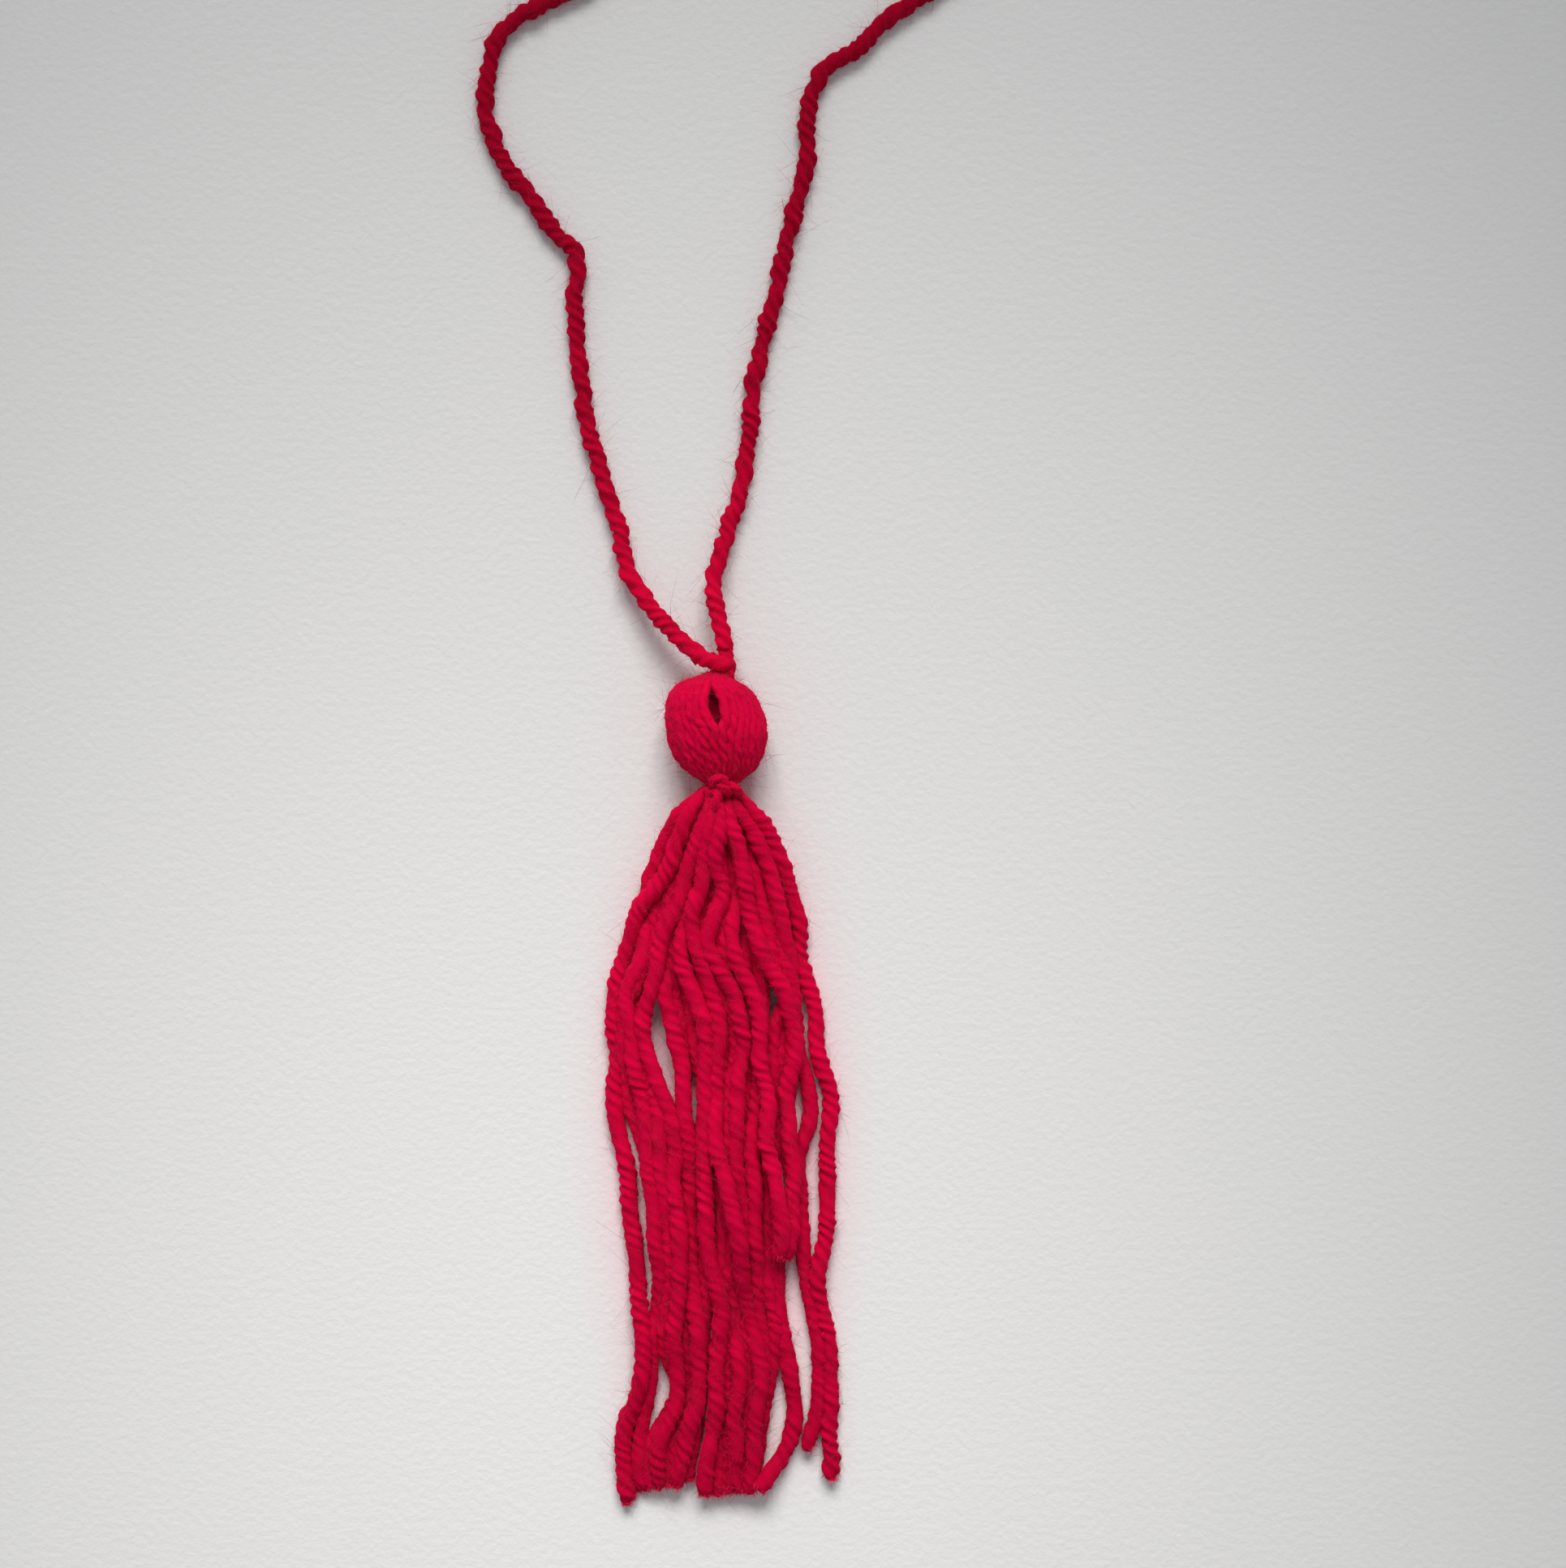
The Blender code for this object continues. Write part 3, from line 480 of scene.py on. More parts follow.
def yarn_map(travelled, around):
    """Where each face of a tube lies on the yarn map: plies across, millimetres along."""
    shape = (len(travelled) - 1, around)
    left = np.broadcast_to(np.arange(around) / PLY_STEPS, shape)
    right = left + 1 / PLY_STEPS
    low = np.broadcast_to(travelled[:-1, None], shape)
    high = np.broadcast_to(travelled[1:, None], shape)
    return np.stack((left, low, right, low, right, high, left, high), axis=-1).reshape(-1, 2)


def new_mesh(name, points, faces, smooth=True):
    """A mesh from points in millimetres."""
    mesh = bpy.data.meshes.new(name)
    mesh.from_pydata((points.reshape(-1, 3) * MM).tolist(), [], faces)
    if smooth:
        mesh.polygons.foreach_set("use_smooth", np.ones(len(mesh.polygons), dtype=bool))
    mesh.update()
    return mesh


class Tubes:
    """Twisted tubes of three plies that become one mesh, in millimetres."""

    def __init__(self, seed):
        self.chance = np.random.default_rng(seed)
        self.points = []
        self.quads = []
        self.triangles = []
        self.quad_uvs = []
        self.triangle_uvs = []
        self.surfaces = []
        self.ends = []
        self.count = 0

    def add(self, line, up, size, pitch=YARN_PITCH, open_end=False, relief=1.0):
        """One tube round a line. size is the yarn's size at each point of it, against its free size."""
        chance = self.chance
        travelled = distance_along(line)
        along, over, side = line_frames(line, up)
        ply = np.repeat(np.arange(PLIES), PLY_STEPS)
        within = np.tile(np.arange(PLY_STEPS) / PLY_STEPS, PLIES)
        bend = (within - 0.5) * 2 * math.pi / PLIES
        crest = np.cos(2 * math.pi * (within - 0.5))
        reach = YARN_MIDDLE + PLY_RELIEF * np.broadcast_to(relief, len(line))[:, None] * crest
        lobes = np.column_stack([drift(travelled, 5.0, chance) for _ in range(PLIES)])
        swell = 1 + PLY_SWELL * lobes[:, ply] * np.sin(math.pi * within)
        twist = -2 * math.pi * travelled / pitch + TWIST_DRIFT * drift(travelled, 11.0, chance)
        theta = chance.uniform(0, 2 * math.pi) + twist[:, None] + (ply * 2 * math.pi / PLIES + bend)[None]
        radius = np.asarray(size)[:, None] * reach * swell + self.lumps(travelled, theta)
        out = np.cos(theta)[..., None] * over[:, None] + np.sin(theta)[..., None] * side[:, None]
        points = line[:, None] + radius[..., None] * out
        if open_end:
            points = self.fan_out(points, line, along, travelled, ply)
        points[..., 2] = np.maximum(points[..., 2], FLOOR_CLEARANCE)
        self.store(points, travelled)
        self.surfaces.append((points, out, along))
        self.ends.append((points[-1], along[-1]))

    def lumps(self, travelled, theta):
        """Small uneven swellings of the fibres."""
        total = np.zeros(theta.shape)
        for wave, turns in LUMP_WAVES:
            start = self.chance.uniform(0, 2 * math.pi)
            strength = 0.5 + 0.5 * drift(travelled, 4.0, self.chance)
            phase = 2 * math.pi * travelled[:, None] / wave + turns * theta + start
            total += strength[:, None] * np.sin(phase)
        return LUMP_HEIGHT * total

    def fan_out(self, points, line, along, travelled, ply):
        """The cut end: its plies part a little and end at different lengths."""
        left = travelled[-1] - travelled
        near = np.clip(1 - left / CUT_REACH, 0, 1)
        shift = self.chance.uniform(-CUT_UNEVEN, CUT_UNEVEN, PLIES)[ply]
        points = points + (near ** 2)[:, None, None] * shift[None, :, None] * along[:, None]
        spread = (1 + CUT_SPREAD * near ** 1.5) * np.interp(left, CUT_PLACES, CUT_SIZES)
        return line[:, None] + (points - line[:, None]) * spread[:, None, None]

    def store(self, points, travelled):
        """Keeps the faces of one tube, with a cap on each end."""
        rings, around = points.shape[:2]
        middles = np.stack((points[0].mean(axis=0), points[-1].mean(axis=0)))
        self.points.extend((points.reshape(-1, 3), middles))
        self.quads.append(ring_quads(rings, around) + self.count)
        place = np.arange(around)
        first = self.count + place
        last = first + (rings - 1) * around
        middle = np.full(around, self.count + rings * around)
        self.triangles.append(np.column_stack((np.roll(first, -1), first, middle)))
        self.triangles.append(np.column_stack((last, np.roll(last, -1), middle + 1)))
        start = MAP_STEP * len(self.surfaces)
        self.quad_uvs.append(yarn_map(travelled + start, around))
        cap_across = np.tile(place / PLY_STEPS, 2).repeat(3)
        self.triangle_uvs.append(np.column_stack((cap_across, np.full(6 * around, start))))
        self.count += rings * around + 2

    def mesh(self, name):
        faces = np.vstack(self.quads).tolist() + np.vstack(self.triangles).tolist()
        mesh = new_mesh(name, np.vstack(self.points), faces)
        layer = mesh.uv_layers.new(name="yarn")
        layer.data.foreach_set("uv", np.vstack((*self.quad_uvs, *self.triangle_uvs)).ravel())
        return mesh


def three_corners(centres, leads, sizes):
    """The corners of three-sided sections, each round its centre and square to its lead."""
    helper = np.where(np.abs(leads[:, 2:3]) < 0.8, ((0.0, 0.0, 1.0),), ((1.0, 0.0, 0.0),))
    first = unit(np.cross(leads, helper))
    second = np.cross(leads, first)
    corners = []
    for corner in range(3):
        turn = corner * 2 * math.pi / 3
        offset = first * math.cos(turn) + second * math.sin(turn)
        corners.append(centres + sizes[:, None] * offset)
    return corners


def many_faces(faces, stride, amount):
    """The faces of one fibre, repeated for all of them."""
    base = stride * np.arange(amount)[:, None, None]
    return (np.array(faces)[None] + base).reshape(-1, len(faces[0])).tolist()


def fibre_mesh(name, starts, leads, curls, lengths, radii):
    """Thin three-sided fibres, each on a bent line from its start. All sizes are in millimetres."""
    rings = []
    for part in FIBRE_PARTS:
        centres = starts + lengths[:, None] * (leads * part + curls * part ** 2)
        rings += three_corners(centres, leads, radii * (1 - FIBRE_TAPER * part))
    rings.append(starts + lengths[:, None] * (leads + curls))
    points = np.stack(rings, axis=1)
    points[..., 2] = np.maximum(points[..., 2], FLOOR_CLEARANCE)
    quads = []
    for low in (0, 3):
        for corner in range(3):
            after = (corner + 1) % 3
            quads.append((low + corner, low + after, low + 3 + after, low + 3 + corner))
    triangles = [(6, 7, 9), (7, 8, 9), (8, 6, 9), (0, 2, 1)]
    faces = many_faces(quads, 10, len(starts)) + many_faces(triangles, 10, len(starts))
    mesh = new_mesh(name, points, faces)
    mesh.uv_layers.new(name="yarn")
    return mesh


def spike_mesh(name, starts, leads, lengths, radii):
    """Short straight fibres: three-sided spikes. All sizes are in millimetres."""
    rings = three_corners(starts, leads, radii)
    rings.append(starts + lengths[:, None] * leads)
    points = np.stack(rings, axis=1)
    points[..., 2] = np.maximum(points[..., 2], FLOOR_CLEARANCE)
    triangles = [(0, 1, 3), (1, 2, 3), (2, 0, 3), (0, 2, 1)]
    return new_mesh(name, points, many_faces(triangles, 4, len(starts)), smooth=False)


def surface_fibres(surfaces, per_millimetre, reach, radius, rise, chance):
    """Where fibres start on the yarns, and how they run."""
    starts, leads, curls = [], [], []
    for points, out, along in surfaces:
        amount = round(per_millimetre * RING_STEP * len(points))
        ring = chance.integers(2, len(points) - 2, amount)
        place = chance.integers(0, points.shape[1], amount)
        outward = out[ring, place]
        # None start where the yarn rests on the floor
        keep = outward[:, 2] > -0.6
        ring, place, outward = ring[keep], place[keep], outward[keep]
        tangent = along[ring] * chance.choice((-1.0, 1.0), len(ring))[:, None]
        across = np.cross(outward, tangent)
        lean = chance.uniform(-0.9, 0.9, len(ring))[:, None]
        lift = chance.uniform(*rise, len(ring))[:, None]
        starts.append(points[ring, place] - FIBRE_ROOT * outward)
        leads.append(unit(tangent + lean * across + lift * outward))
        curls.append(chance.normal(0, 0.6, (len(ring), 3)) - 0.1 * outward)
    starts, leads, curls = (np.vstack(rows) for rows in (starts, leads, curls))
    lengths = chance.uniform(*reach, len(starts))
    radii = radius * chance.uniform(0.7, 1.25, len(starts))
    return starts, leads, curls, lengths, radii


def end_fibres(ends, amount, chance):
    """Tufts at the cut ends, in a few clumps that lean their own ways."""
    starts, leads, curls = [], [], []
    for ring, along in ends:
        middle = ring.mean(axis=0)
        clumps = chance.normal(0, 0.45, (TUFT_CLUMPS, 3))
        clump = chance.integers(0, TUFT_CLUMPS, amount)
        spread = chance.integers(0, len(ring), amount)
        place = middle + 1.5 * (ring[spread] - middle) * np.sqrt(chance.random(amount))[:, None]
        starts.append(place - TUFT_ROOT * along)
        leads.append(unit(along + clumps[clump] + chance.normal(0, 0.2, (amount, 3))))
        curls.append(chance.normal(0, 0.25, (amount, 3)))
    starts, leads, curls = (np.vstack(rows) for rows in (starts, leads, curls))
    lengths = chance.uniform(*TUFT_LENGTH, len(starts))
    radii = chance.uniform(*TUFT_RADIUS, len(starts))
    return starts, leads, curls, lengths, radii


def link(name, mesh, material):
    thing = bpy.data.objects.new(name, mesh)
    bpy.context.collection.objects.link(thing)
    mesh.materials.append(material)
    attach(thing, "root")
    return thing


def feed(tree, socket, value):
    """Gives an input its value, or the output of another node."""
    if isinstance(value, bpy.types.NodeSocket):
        tree.links.new(value, socket)
    else:
        socket.default_value = value


def node(tree, kind, **settings):
    """A node with its properties and its inputs set by name, where an input's name has its spaces as _."""
    made = tree.nodes.new(kind)
    for key, value in settings.items():
        words = key.replace("_", " ")
        if words in made.inputs:
            feed(tree, made.inputs[words], value)
        else:
            setattr(made, key, value)
    return made


def combine(tree, operation, *values):
    """The result of a Math node on outputs and numbers."""
    made = node(tree, "ShaderNodeMath", operation=operation)
    for socket, value in zip(made.inputs, values):
        feed(tree, socket, value)
    return made.outputs[0]


def map_range(tree, value, low, high, **settings):
    """A value as its share of the way from low to high."""
    made = node(tree, "ShaderNodeMapRange", Value=value, From_Min=low, From_Max=high, **settings)
    return made.outputs["Result"]


def noise(tree, place, scale, **settings):
    return node(tree, "ShaderNodeTexNoise", Vector=place, Scale=scale, **settings).outputs["Fac"]


def colour_mix(tree, share, first, second):
    made = node(tree, "ShaderNodeMix", data_type="RGBA", Factor=share)
    colours = [socket for socket in made.inputs if socket.type == "RGBA"]
    colours[0].default_value = first
    colours[1].default_value = second
    return made.outputs[2]


def colour_ramp(tree, share, first, last):
    made = node(tree, "ShaderNodeValToRGB", Fac=share)
    made.color_ramp.elements[0].color = first
    made.color_ramp.elements[1].color = last
    return made.outputs["Color"]


def new_material(name, **settings):
    """A material, its node tree and its shader's inputs, with some of those set by name."""
    material = bpy.data.materials.new(name)
    material.use_nodes = True
    tree = material.node_tree
    inputs = tree.nodes["Principled BSDF"].inputs
    for key, value in settings.items():
        inputs[key.replace("_", " ")].default_value = value
    return material, tree, inputs


def yarn_material(name, light, deep, painted_shade_span):
    """Plied yarn of two reds, with painted shade in its ply valleys and along Y. painted_shade_span is where
    that painted shade along Y starts and ends, and how far it goes.
    """
    material, tree, shader = new_material(
        name, Roughness=0.85, Specular_IOR_Level=0.03, Subsurface_Weight=0.35,
        Subsurface_Radius=(1.0, 0.25, 0.3), Subsurface_Scale=0.0006, Sheen_Weight=0.2,
        Sheen_Roughness=0.5, Sheen_Tint=(1.0, 0.02, 0.09, 1.0))
    on_yarn = node(tree, "ShaderNodeUVMap", uv_map="yarn").outputs["UV"]
    place = node(tree, "ShaderNodeTexCoord").outputs["Object"]
    # Fibres: long and thin, nearly along the ply
    stretched = node(tree, "ShaderNodeMapping", Vector=on_yarn, Scale=(16.0, 0.9, 1.0),
                     Rotation=(0.0, 0.0, 0.03)).outputs["Vector"]
    fibres = noise(tree, stretched, 1.0, Detail=3.0, Roughness=0.65)
    patches = noise(tree, place, 260.0, Detail=2.0, Roughness=0.5)
    # Painted shade in the ply valleys: the crest of a ply is 0, and the valley beside it 0.5
    across = node(tree, "ShaderNodeSeparateXYZ", Vector=on_yarn).outputs["X"]
    beside = combine(tree, "SUBTRACT", combine(tree, "FRACT", across), 0.5)
    valley_shade = map_range(tree, combine(tree, "ABSOLUTE", beside), 0.18, 0.5)
    # Painted shade: away from where the light is brightest, the yarn goes deeper in colour along Y
    along = node(tree, "ShaderNodeSeparateXYZ", Vector=place).outputs["Y"]
    start, end, amount = painted_shade_span
    painted_shade_share = map_range(tree, along, start, end, To_Max=amount)
    dark = combine(tree, "MULTIPLY_ADD", valley_shade, VALLEY_SHADE_SHARE, fibres)
    dark = combine(tree, "ADD", combine(tree, "ADD", patches, dark), painted_shade_share)
    share = map_range(tree, dark, 0.72, 1.65)
    feed(tree, shader["Base Color"], colour_mix(tree, share, light, deep))
    bump = node(tree, "ShaderNodeBump", Strength=0.35, Distance=0.00012, Height=fibres)
    feed(tree, shader["Normal"], bump.outputs["Normal"])
    return material


def inner_shade_material():
    """The yarn inside the head, painted near-black: painted shade standing in for the same red yarn deep in
    shadow.
    """
    material, tree, shader = new_material("inner_yarn", Roughness=0.95, Specular_IOR_Level=0.05)
    place = node(tree, "ShaderNodeTexCoord").outputs["Object"]
    stretched = node(tree, "ShaderNodeMapping", Vector=place, Scale=(900.0, 220.0, 900.0))
    fibres = noise(tree, stretched.outputs["Vector"], 1.0, Detail=2.0)
    lighter = (*(2 * part for part in INNER_SHADE_RED[:3]), 1.0)
    feed(tree, shader["Base Color"], colour_ramp(tree, fibres, INNER_SHADE_RED, lighter))
    return material


def fibre_material(name, first, last):
    """Loose fibres, of mixed shades."""
    material, tree, shader = new_material(name, Roughness=0.8, Specular_IOR_Level=0.1)
    place = node(tree, "ShaderNodeTexCoord").outputs["Object"]
    shades = noise(tree, place, 600.0, Detail=2.0)
    feed(tree, shader["Base Color"], colour_ramp(tree, shades, first, last))
    return material


def floor_material():
    """White paper with a fine grain. Close to the skirt it is painted pink: painted light standing in for
    the red light that the yarn bounces onto it.
    """
    material, tree, shader = new_material("floor", Roughness=0.6, Specular_IOR_Level=0.3)
    place = node(tree, "ShaderNodeTexCoord").outputs["Object"]
    reach = node(tree, "ShaderNodeMapping", vector_type="TEXTURE", Vector=place,
                 Location=PAINTED_BOUNCE_MIDDLE, Scale=PAINTED_BOUNCE_REACH)
    away = node(tree, "ShaderNodeVectorMath", operation="LENGTH")
    feed(tree, away.inputs[0], reach.outputs["Vector"])
    # Painted bounce light: the paper turns pink towards the skirt
    painted_bounce = map_range(tree, away.outputs["Value"], 1.0, 0.35, interpolation_type="SMOOTHSTEP")
    feed(tree, shader["Base Color"], colour_mix(tree, painted_bounce, FLOOR_COLOUR, PAINTED_BOUNCE_COLOUR))
    grain = noise(tree, place, 1100.0, Detail=2.0, Roughness=0.55)
    bump = node(tree, "ShaderNodeBump", Strength=0.5, Distance=0.00016, Height=grain)
    feed(tree, shader["Normal"], bump.outputs["Normal"])
    return material


def photo_place(pixel_x, pixel_y, height):
    """Where a point of the photograph lies, in millimetres, when it is at that height."""
    nearer = (CAMERA_HEIGHT / MM - height) / (CAMERA_DISTANCE / MM)
    centre_x, centre_y = (part / MM for part in CAMERA_CENTRE)
    across = (pixel_x - ORIGIN_PIXEL[0]) * PIXEL
    along = (ORIGIN_PIXEL[1] - pixel_y) * PIXEL
    return centre_x + (across - centre_x) * nearer, centre_y + (along - centre_y) * nearer, height


def strand_lift(pixel_x, pixel_y):
    """How much higher the under strands lie, to fill the seams between those on top."""
    middle = np.interp(pixel_x, MIDDLE_PLACES, MIDDLE_SHARES)
    return (np.interp(pixel_y, LIFT_PLACES, LIFT_HEIGHTS)
            + middle * np.interp(pixel_y, MIDDLE_ALONG, MIDDLE_LIFTS))


def strand_line(name, places, chance):
    points = [(*place, REST_HEIGHT)[:3] for place in places]
    if name.startswith("under"):
        points = [(x, y, z + float(strand_lift(x, y))) for x, y, z in points]
    line = smooth_line([photo_place(*point) for point in points])
    travelled = distance_along(line)
    free = np.clip((travelled - 4.0) / 8.0, 0, 1)
    line[:, 0] += STRAND_WANDER * free * drift(travelled, 9.0, chance)
    line[:, 2] += STRAND_WANDER * free * drift(travelled, 7.0, chance)
    return line


def make_skirt(material):
    """The strands, in two pieces."""
    chance = np.random.default_rng(21)
    groups = {"skirt_left": Tubes(31), "skirt_right": Tubes(32)}
    for name, places in STRANDS:
        side = "skirt_left" if places[len(places) // 2][0] < SKIRT_MIDDLE else "skirt_right"
        line = strand_line(name, places, chance)
        travelled = distance_along(line)
        # The yarn is tight in the neck and reaches its free size below it
        size = (0.5 + 0.5 * np.clip((travelled - 0.6) / 4.0, 0, 1)) * chance.uniform(*STRAND_SIZES)
        size = size * (1 + STRAND_SWELL * drift(travelled, 10.0, chance))
        relief = np.clip(0.7 + 0.4 * drift(travelled, 14.0, chance), 0.25, 1.1)
        relief = relief * (OUTER_RELIEF if name.endswith("outer") else INNER_RELIEF)
        relief = relief * np.interp(travelled, NECK_PLACES, NECK_RELIEF)
        groups[side].add(line, (0, 0, 1), size, open_end=True, relief=relief)
    return [(link(name, tubes.mesh(name), material), tubes) for name, tubes in groups.items()]


def head_measure(along):
    """Centre and half sizes of the head's section at a place along Y."""
    table = np.array(HEAD_SECTIONS)[::-1]
    left, right, low, high = (np.interp(along, table[:, 0], table[:, column]) for column in (1, 2, 3, 4))
    return (left + right) / 2, (right - left) / 2, (low + high) / 2, (high - low) / 2


def head_yarn(angle, inset, chance):
    """A yarn's line down the head at an angle round it, and its size along that line."""
    places = np.array(HEAD_PLACES)
    middle_x, half_x, middle_z, half_z = head_measure(places)
    beside = math.remainder(angle - SLIT_ANGLE, 2 * math.pi)
    opening = np.exp(-1.2 * ((places - SLIT_MIDDLE) / SLIT_REACH) ** 4)
    push = math.copysign(SLIT_OPENING, beside) * opening * math.exp(-(beside / 0.9) ** 2)
    turned = angle + push + chance.uniform(-HEAD_WANDER, HEAD_WANDER, len(places))
    inset = inset + np.interp(places, SUNK_PLACES, SUNK_DEPTHS) * chance.uniform(-0.3, 1.0)
    across = middle_x + np.maximum(half_x - inset, 0.3) * np.cos(turned)
    up = middle_z + np.maximum(half_z - inset, 0.3) * np.sin(turned)
    line = smooth_line(np.column_stack((across, places, up)))
    room_x, room_z = (np.maximum(half - YARN_RADIUS, 0.3) for half in head_measure(line[:, 1])[1::2])
    girth = 2 * math.pi * np.sqrt((room_x ** 2 + room_z ** 2) / 2) / HEAD_YARNS
    return line, np.clip(girth / (HEAD_OVERLAP * YARN_RADIUS), 0.34, 1.0)


def make_head(material, inner_shade):
    chance = np.random.default_rng(5)
    tubes = Tubes(6)
    for number in range(HEAD_YARNS):
        angle = SLIT_ANGLE + (number + 0.5) * 2 * math.pi / HEAD_YARNS
        inset = YARN_RADIUS * chance.uniform(0.93, 1.07)
        line, size = head_yarn(angle, inset, chance)
        middle_x, _, middle_z, _ = head_measure(line[:, 1])
        outward = np.column_stack((line[:, 0] - middle_x, np.zeros(len(line)), line[:, 2] - middle_z))
        relief = np.interp(line[:, 1], HEAD_RELIEF_PLACES, HEAD_RELIEF) * chance.uniform(0.6, 1.1)
        tubes.add(line, outward, size, relief=relief, pitch=HEAD_PITCH)
    head = link("head_yarns", tubes.mesh("head_yarns"), material)
    link("head_core", core_mesh(), inner_shade)
    return head, tubes


def core_mesh():
    """The bundle inside the head and neck, seen only between the yarns."""
    along = np.linspace(50.2, 34.6, 40)[:, None]
    angles = np.linspace(0, 2 * math.pi, 32, endpoint=False)
    middle_x, half_x, middle_z, half_z = head_measure(along)
    hollow = np.exp(-((along - SLIT_MIDDLE) / 2.4) ** 2) * np.exp(-((angles - SLIT_ANGLE) / 0.3) ** 2)
    across = middle_x + np.maximum(half_x - CORE_INSET, 0.5) * np.cos(angles)
    up = middle_z + np.maximum(half_z - CORE_INSET, 0.5) * np.sin(angles) - hollow
    points = np.stack((across, np.broadcast_to(along, across.shape), up), axis=-1)
    rings, around = points.shape[:2]
    faces = ring_quads(rings, around).tolist()
    faces.append(tuple(reversed(range(around))))
    faces.append(tuple(range((rings - 1) * around, rings * around)))
    return new_mesh("head_core", points, faces)


def make_tie(material):
    """The turn of yarn round the neck, its knot in front and the knot's two ends."""
    tubes = Tubes(9)
    angles = np.linspace(math.radians(100), math.radians(100 + 360), 60)
    centre_x, centre_z = TIE_CENTRE
    ring = np.column_stack((centre_x + TIE_REACH[0] * np.cos(angles),
                            NECK_ALONG + 0.15 * np.sin(angles * 2),
                            centre_z + TIE_REACH[1] * np.sin(angles)))
    outward = np.column_stack((np.cos(angles), np.zeros(len(angles)), np.sin(angles)))
    tubes.add(ring, outward, np.full(len(ring), TIE_SIZE), pitch=TIE_PITCH)
    for bump in TIE_BUMPS:
        line = smooth_line(bump)
        tubes.add(line, (0.3, 0.2, 1.0), np.full(len(line), TIE_KNOT_SIZE), pitch=TIE_KNOT_PITCH)
    for tail in TIE_TAILS:
        line = smooth_line(tail)
        tubes.add(line, (0.1, 0.1, 1.0), np.full(len(line), TIE_KNOT_SIZE), open_end=True)
    return link("tie_yarn", tubes.mesh("tie_yarn"), material), tubes


def make_knot(material):
    """The knot on top of the head, and the stem of cord that goes down into it."""
    tubes = Tubes(12)
    wrap = smooth_line(KNOT_WRAP)
    outward = wrap - np.array(KNOT_CENTRE)
    tubes.add(wrap, outward, np.full(len(wrap), WRAP_SIZE), pitch=KNOT_PITCH)
    stem = smooth_line(KNOT_STEM)
    size = np.interp(distance_along(stem), STEM_PLACES, STEM_SIZES)
    tubes.add(stem, (0, 0, 1), size, pitch=KNOT_PITCH)
    return link("knot_yarn", tubes.mesh("knot_yarn"), material), tubes


def make_cord(material):
    """The hanging cord, and the line that it follows."""
    tubes = Tubes(15)
    line = smooth_line(CORD_ROUTE)
    travelled = distance_along(line)
    chance = np.random.default_rng(16)
    size = CORD_SIZE * (1 + CORD_SWELL * drift(travelled, 5.0, chance))
    held = np.clip(np.minimum(travelled, travelled[-1] - travelled) / 4.0, 0, 1)
    wavy = line.copy()
    wavy[:, 0] += CORD_WANDER * held * drift(travelled, 5.5, chance)
    tubes.add(wavy, (0, 0, 1), size, pitch=CORD_PITCH, relief=CORD_RELIEF)
    return link("cord_yarn", tubes.mesh("cord_yarn"), material), tubes, line


def make_fuzz(name, tubes, material, hair, ends=0):
    """The short fuzz of some yarns in one piece, their long hairs in another, and their end tufts."""
    chance = np.random.default_rng(len(name) * 101)
    short, long = FIBRE_AMOUNTS[name]
    starts, leads, _, lengths, radii = surface_fibres(
        tubes.surfaces, short, FUZZ_LENGTH, FUZZ_RADIUS, FUZZ_RISE, chance)
    spikes = spike_mesh(name + "_fuzz", starts, leads, lengths, radii)
    pieces = [link(name + "_fuzz", spikes, material)]
    strays = surface_fibres(tubes.surfaces, long, HAIR_LENGTH, HAIR_RADIUS, HAIR_RISE, chance)
    pieces.append(link(name + "_hairs", fibre_mesh(name + "_hairs", *strays), hair))
    if ends:
        tufts = fibre_mesh(name + "_ends", *end_fibres(tubes.ends, ends, chance))
        pieces.append(link(name + "_ends", tufts, material))
    return pieces


def make_floor():
    mesh = bpy.data.meshes.new("floor")
    corners = [(-FLOOR_REACH, -FLOOR_REACH, 0), (FLOOR_REACH, -FLOOR_REACH, 0),
               (FLOOR_REACH, FLOOR_REACH, 0), (-FLOOR_REACH, FLOOR_REACH, 0)]
    mesh.from_pydata(corners, [], [(0, 1, 2, 3)])
    mesh.materials.append(floor_material())
    floor = bpy.data.objects.new("floor", mesh)
    bpy.context.collection.objects.link(floor)


def aim(thing, target):
    gap = [there - here for there, here in zip(target, thing.location)]
    flat = math.hypot(gap[0], gap[1])
    thing.rotation_euler = (math.atan2(flat, -gap[2]), 0.0, math.atan2(gap[1], gap[0]) - math.pi / 2)


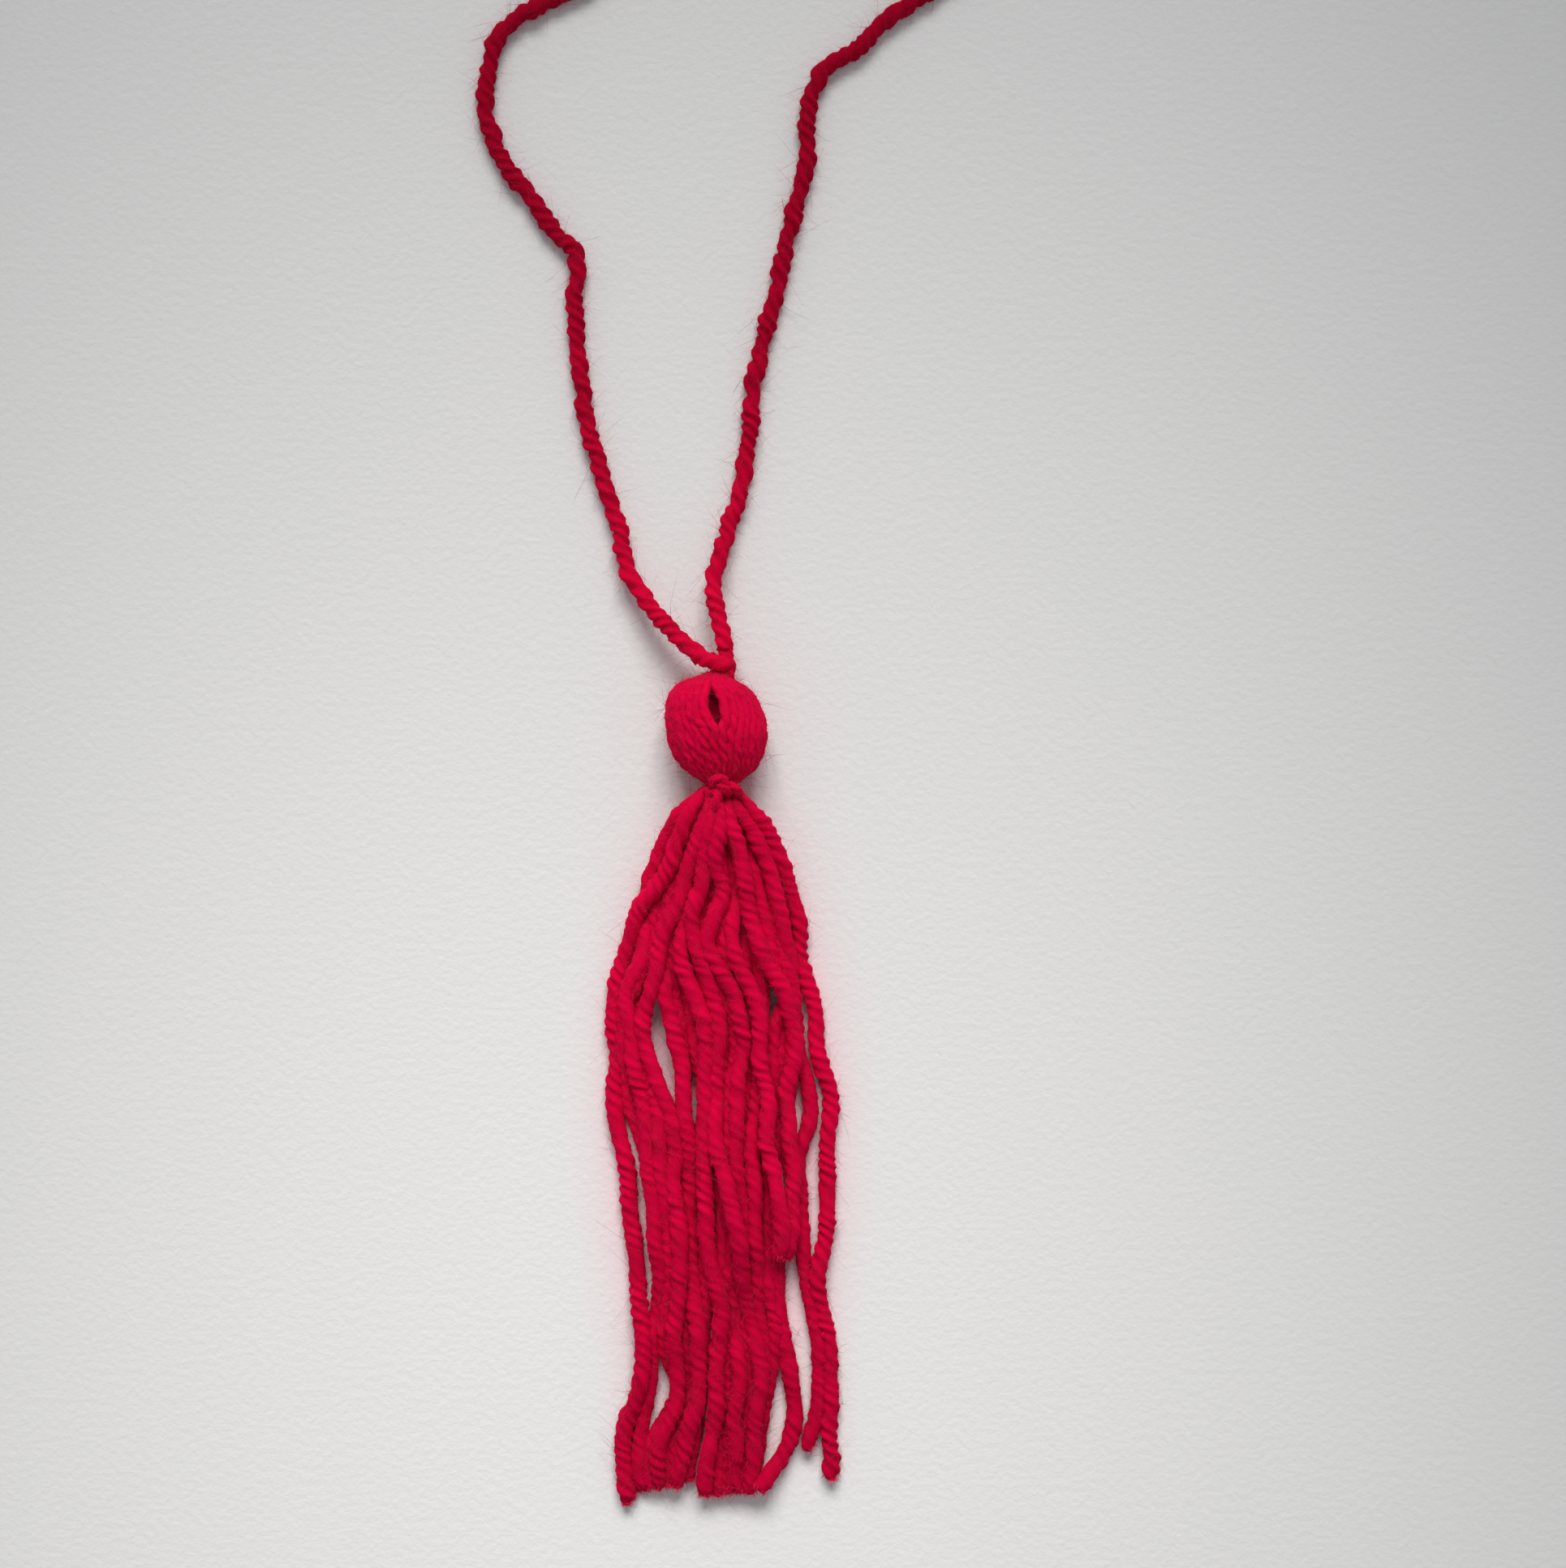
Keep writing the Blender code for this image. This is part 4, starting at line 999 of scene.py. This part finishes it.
def make_lights():
    """A window of six panes beyond the far end of the cord, and a dim sky."""
    for number, (across, height) in enumerate(WINDOW_PANES):
        data = bpy.data.lights.new("pane_" + str(number + 1), "SPOT")
        data.energy = PANE_ENERGY
        data.shadow_soft_size = PANE_RADIUS
        data.spot_size = math.radians(PANE_CONE)
        data.spot_blend = 1.0
        data.color = PANE_COLOUR
        pane = bpy.data.objects.new(data.name, data)
        bpy.context.collection.objects.link(pane)
        pane.location = (across, WINDOW_DISTANCE, height)
        aim(pane, WINDOW_TARGET)
    world = bpy.data.worlds.new("studio")
    world.use_nodes = True
    background = world.node_tree.nodes["Background"]
    background.inputs["Color"].default_value = SKY_COLOUR
    background.inputs["Strength"].default_value = SKY_STRENGTH
    bpy.context.scene.world = world


def main():
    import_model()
    make_camera()
    yarn = yarn_material("red_yarn_plied", LIGHT_RED, DEEP_RED, SKIRT_PAINTED_SHADE)
    head_red = yarn_material("red_head_plied", HEAD_LIGHT_RED, HEAD_DEEP_RED, SKIRT_PAINTED_SHADE)
    cord_red = yarn_material("red_cord_plied", CORD_LIGHT_RED, CORD_DEEP_RED, CORD_PAINTED_SHADE)
    inner_shade = inner_shade_material()
    fuzz = fibre_material("yarn_fuzz", FUZZ_RED, FUZZ_PALE)
    hair = fibre_material("yarn_hair", HAIR_DARK, HAIR_RED)

    cord, cord_tubes, cord_line = make_cord(cord_red)
    knot, knot_tubes = make_knot(cord_red)
    cord_fuzz = make_fuzz("cord", cord_tubes, fuzz, hair)
    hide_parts("hanging_cord")
    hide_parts("cord_knot")

    head, head_tubes = make_head(head_red, inner_shade)
    tie, tie_tubes = make_tie(yarn)
    skirt = make_skirt(yarn)
    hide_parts("neck_tie")
    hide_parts("tassel")
    make_fuzz("head", head_tubes, fuzz, hair)
    make_fuzz("tie", tie_tubes, fuzz, hair)
    make_fuzz("knot", knot_tubes, fuzz, hair)
    for piece, tubes in skirt:
        make_fuzz(piece.name, tubes, fuzz, hair, ends=TUFT_FIBRES)

    make_floor()
    make_lights()
    bpy.context.scene.view_settings.view_transform = "Standard"


main()
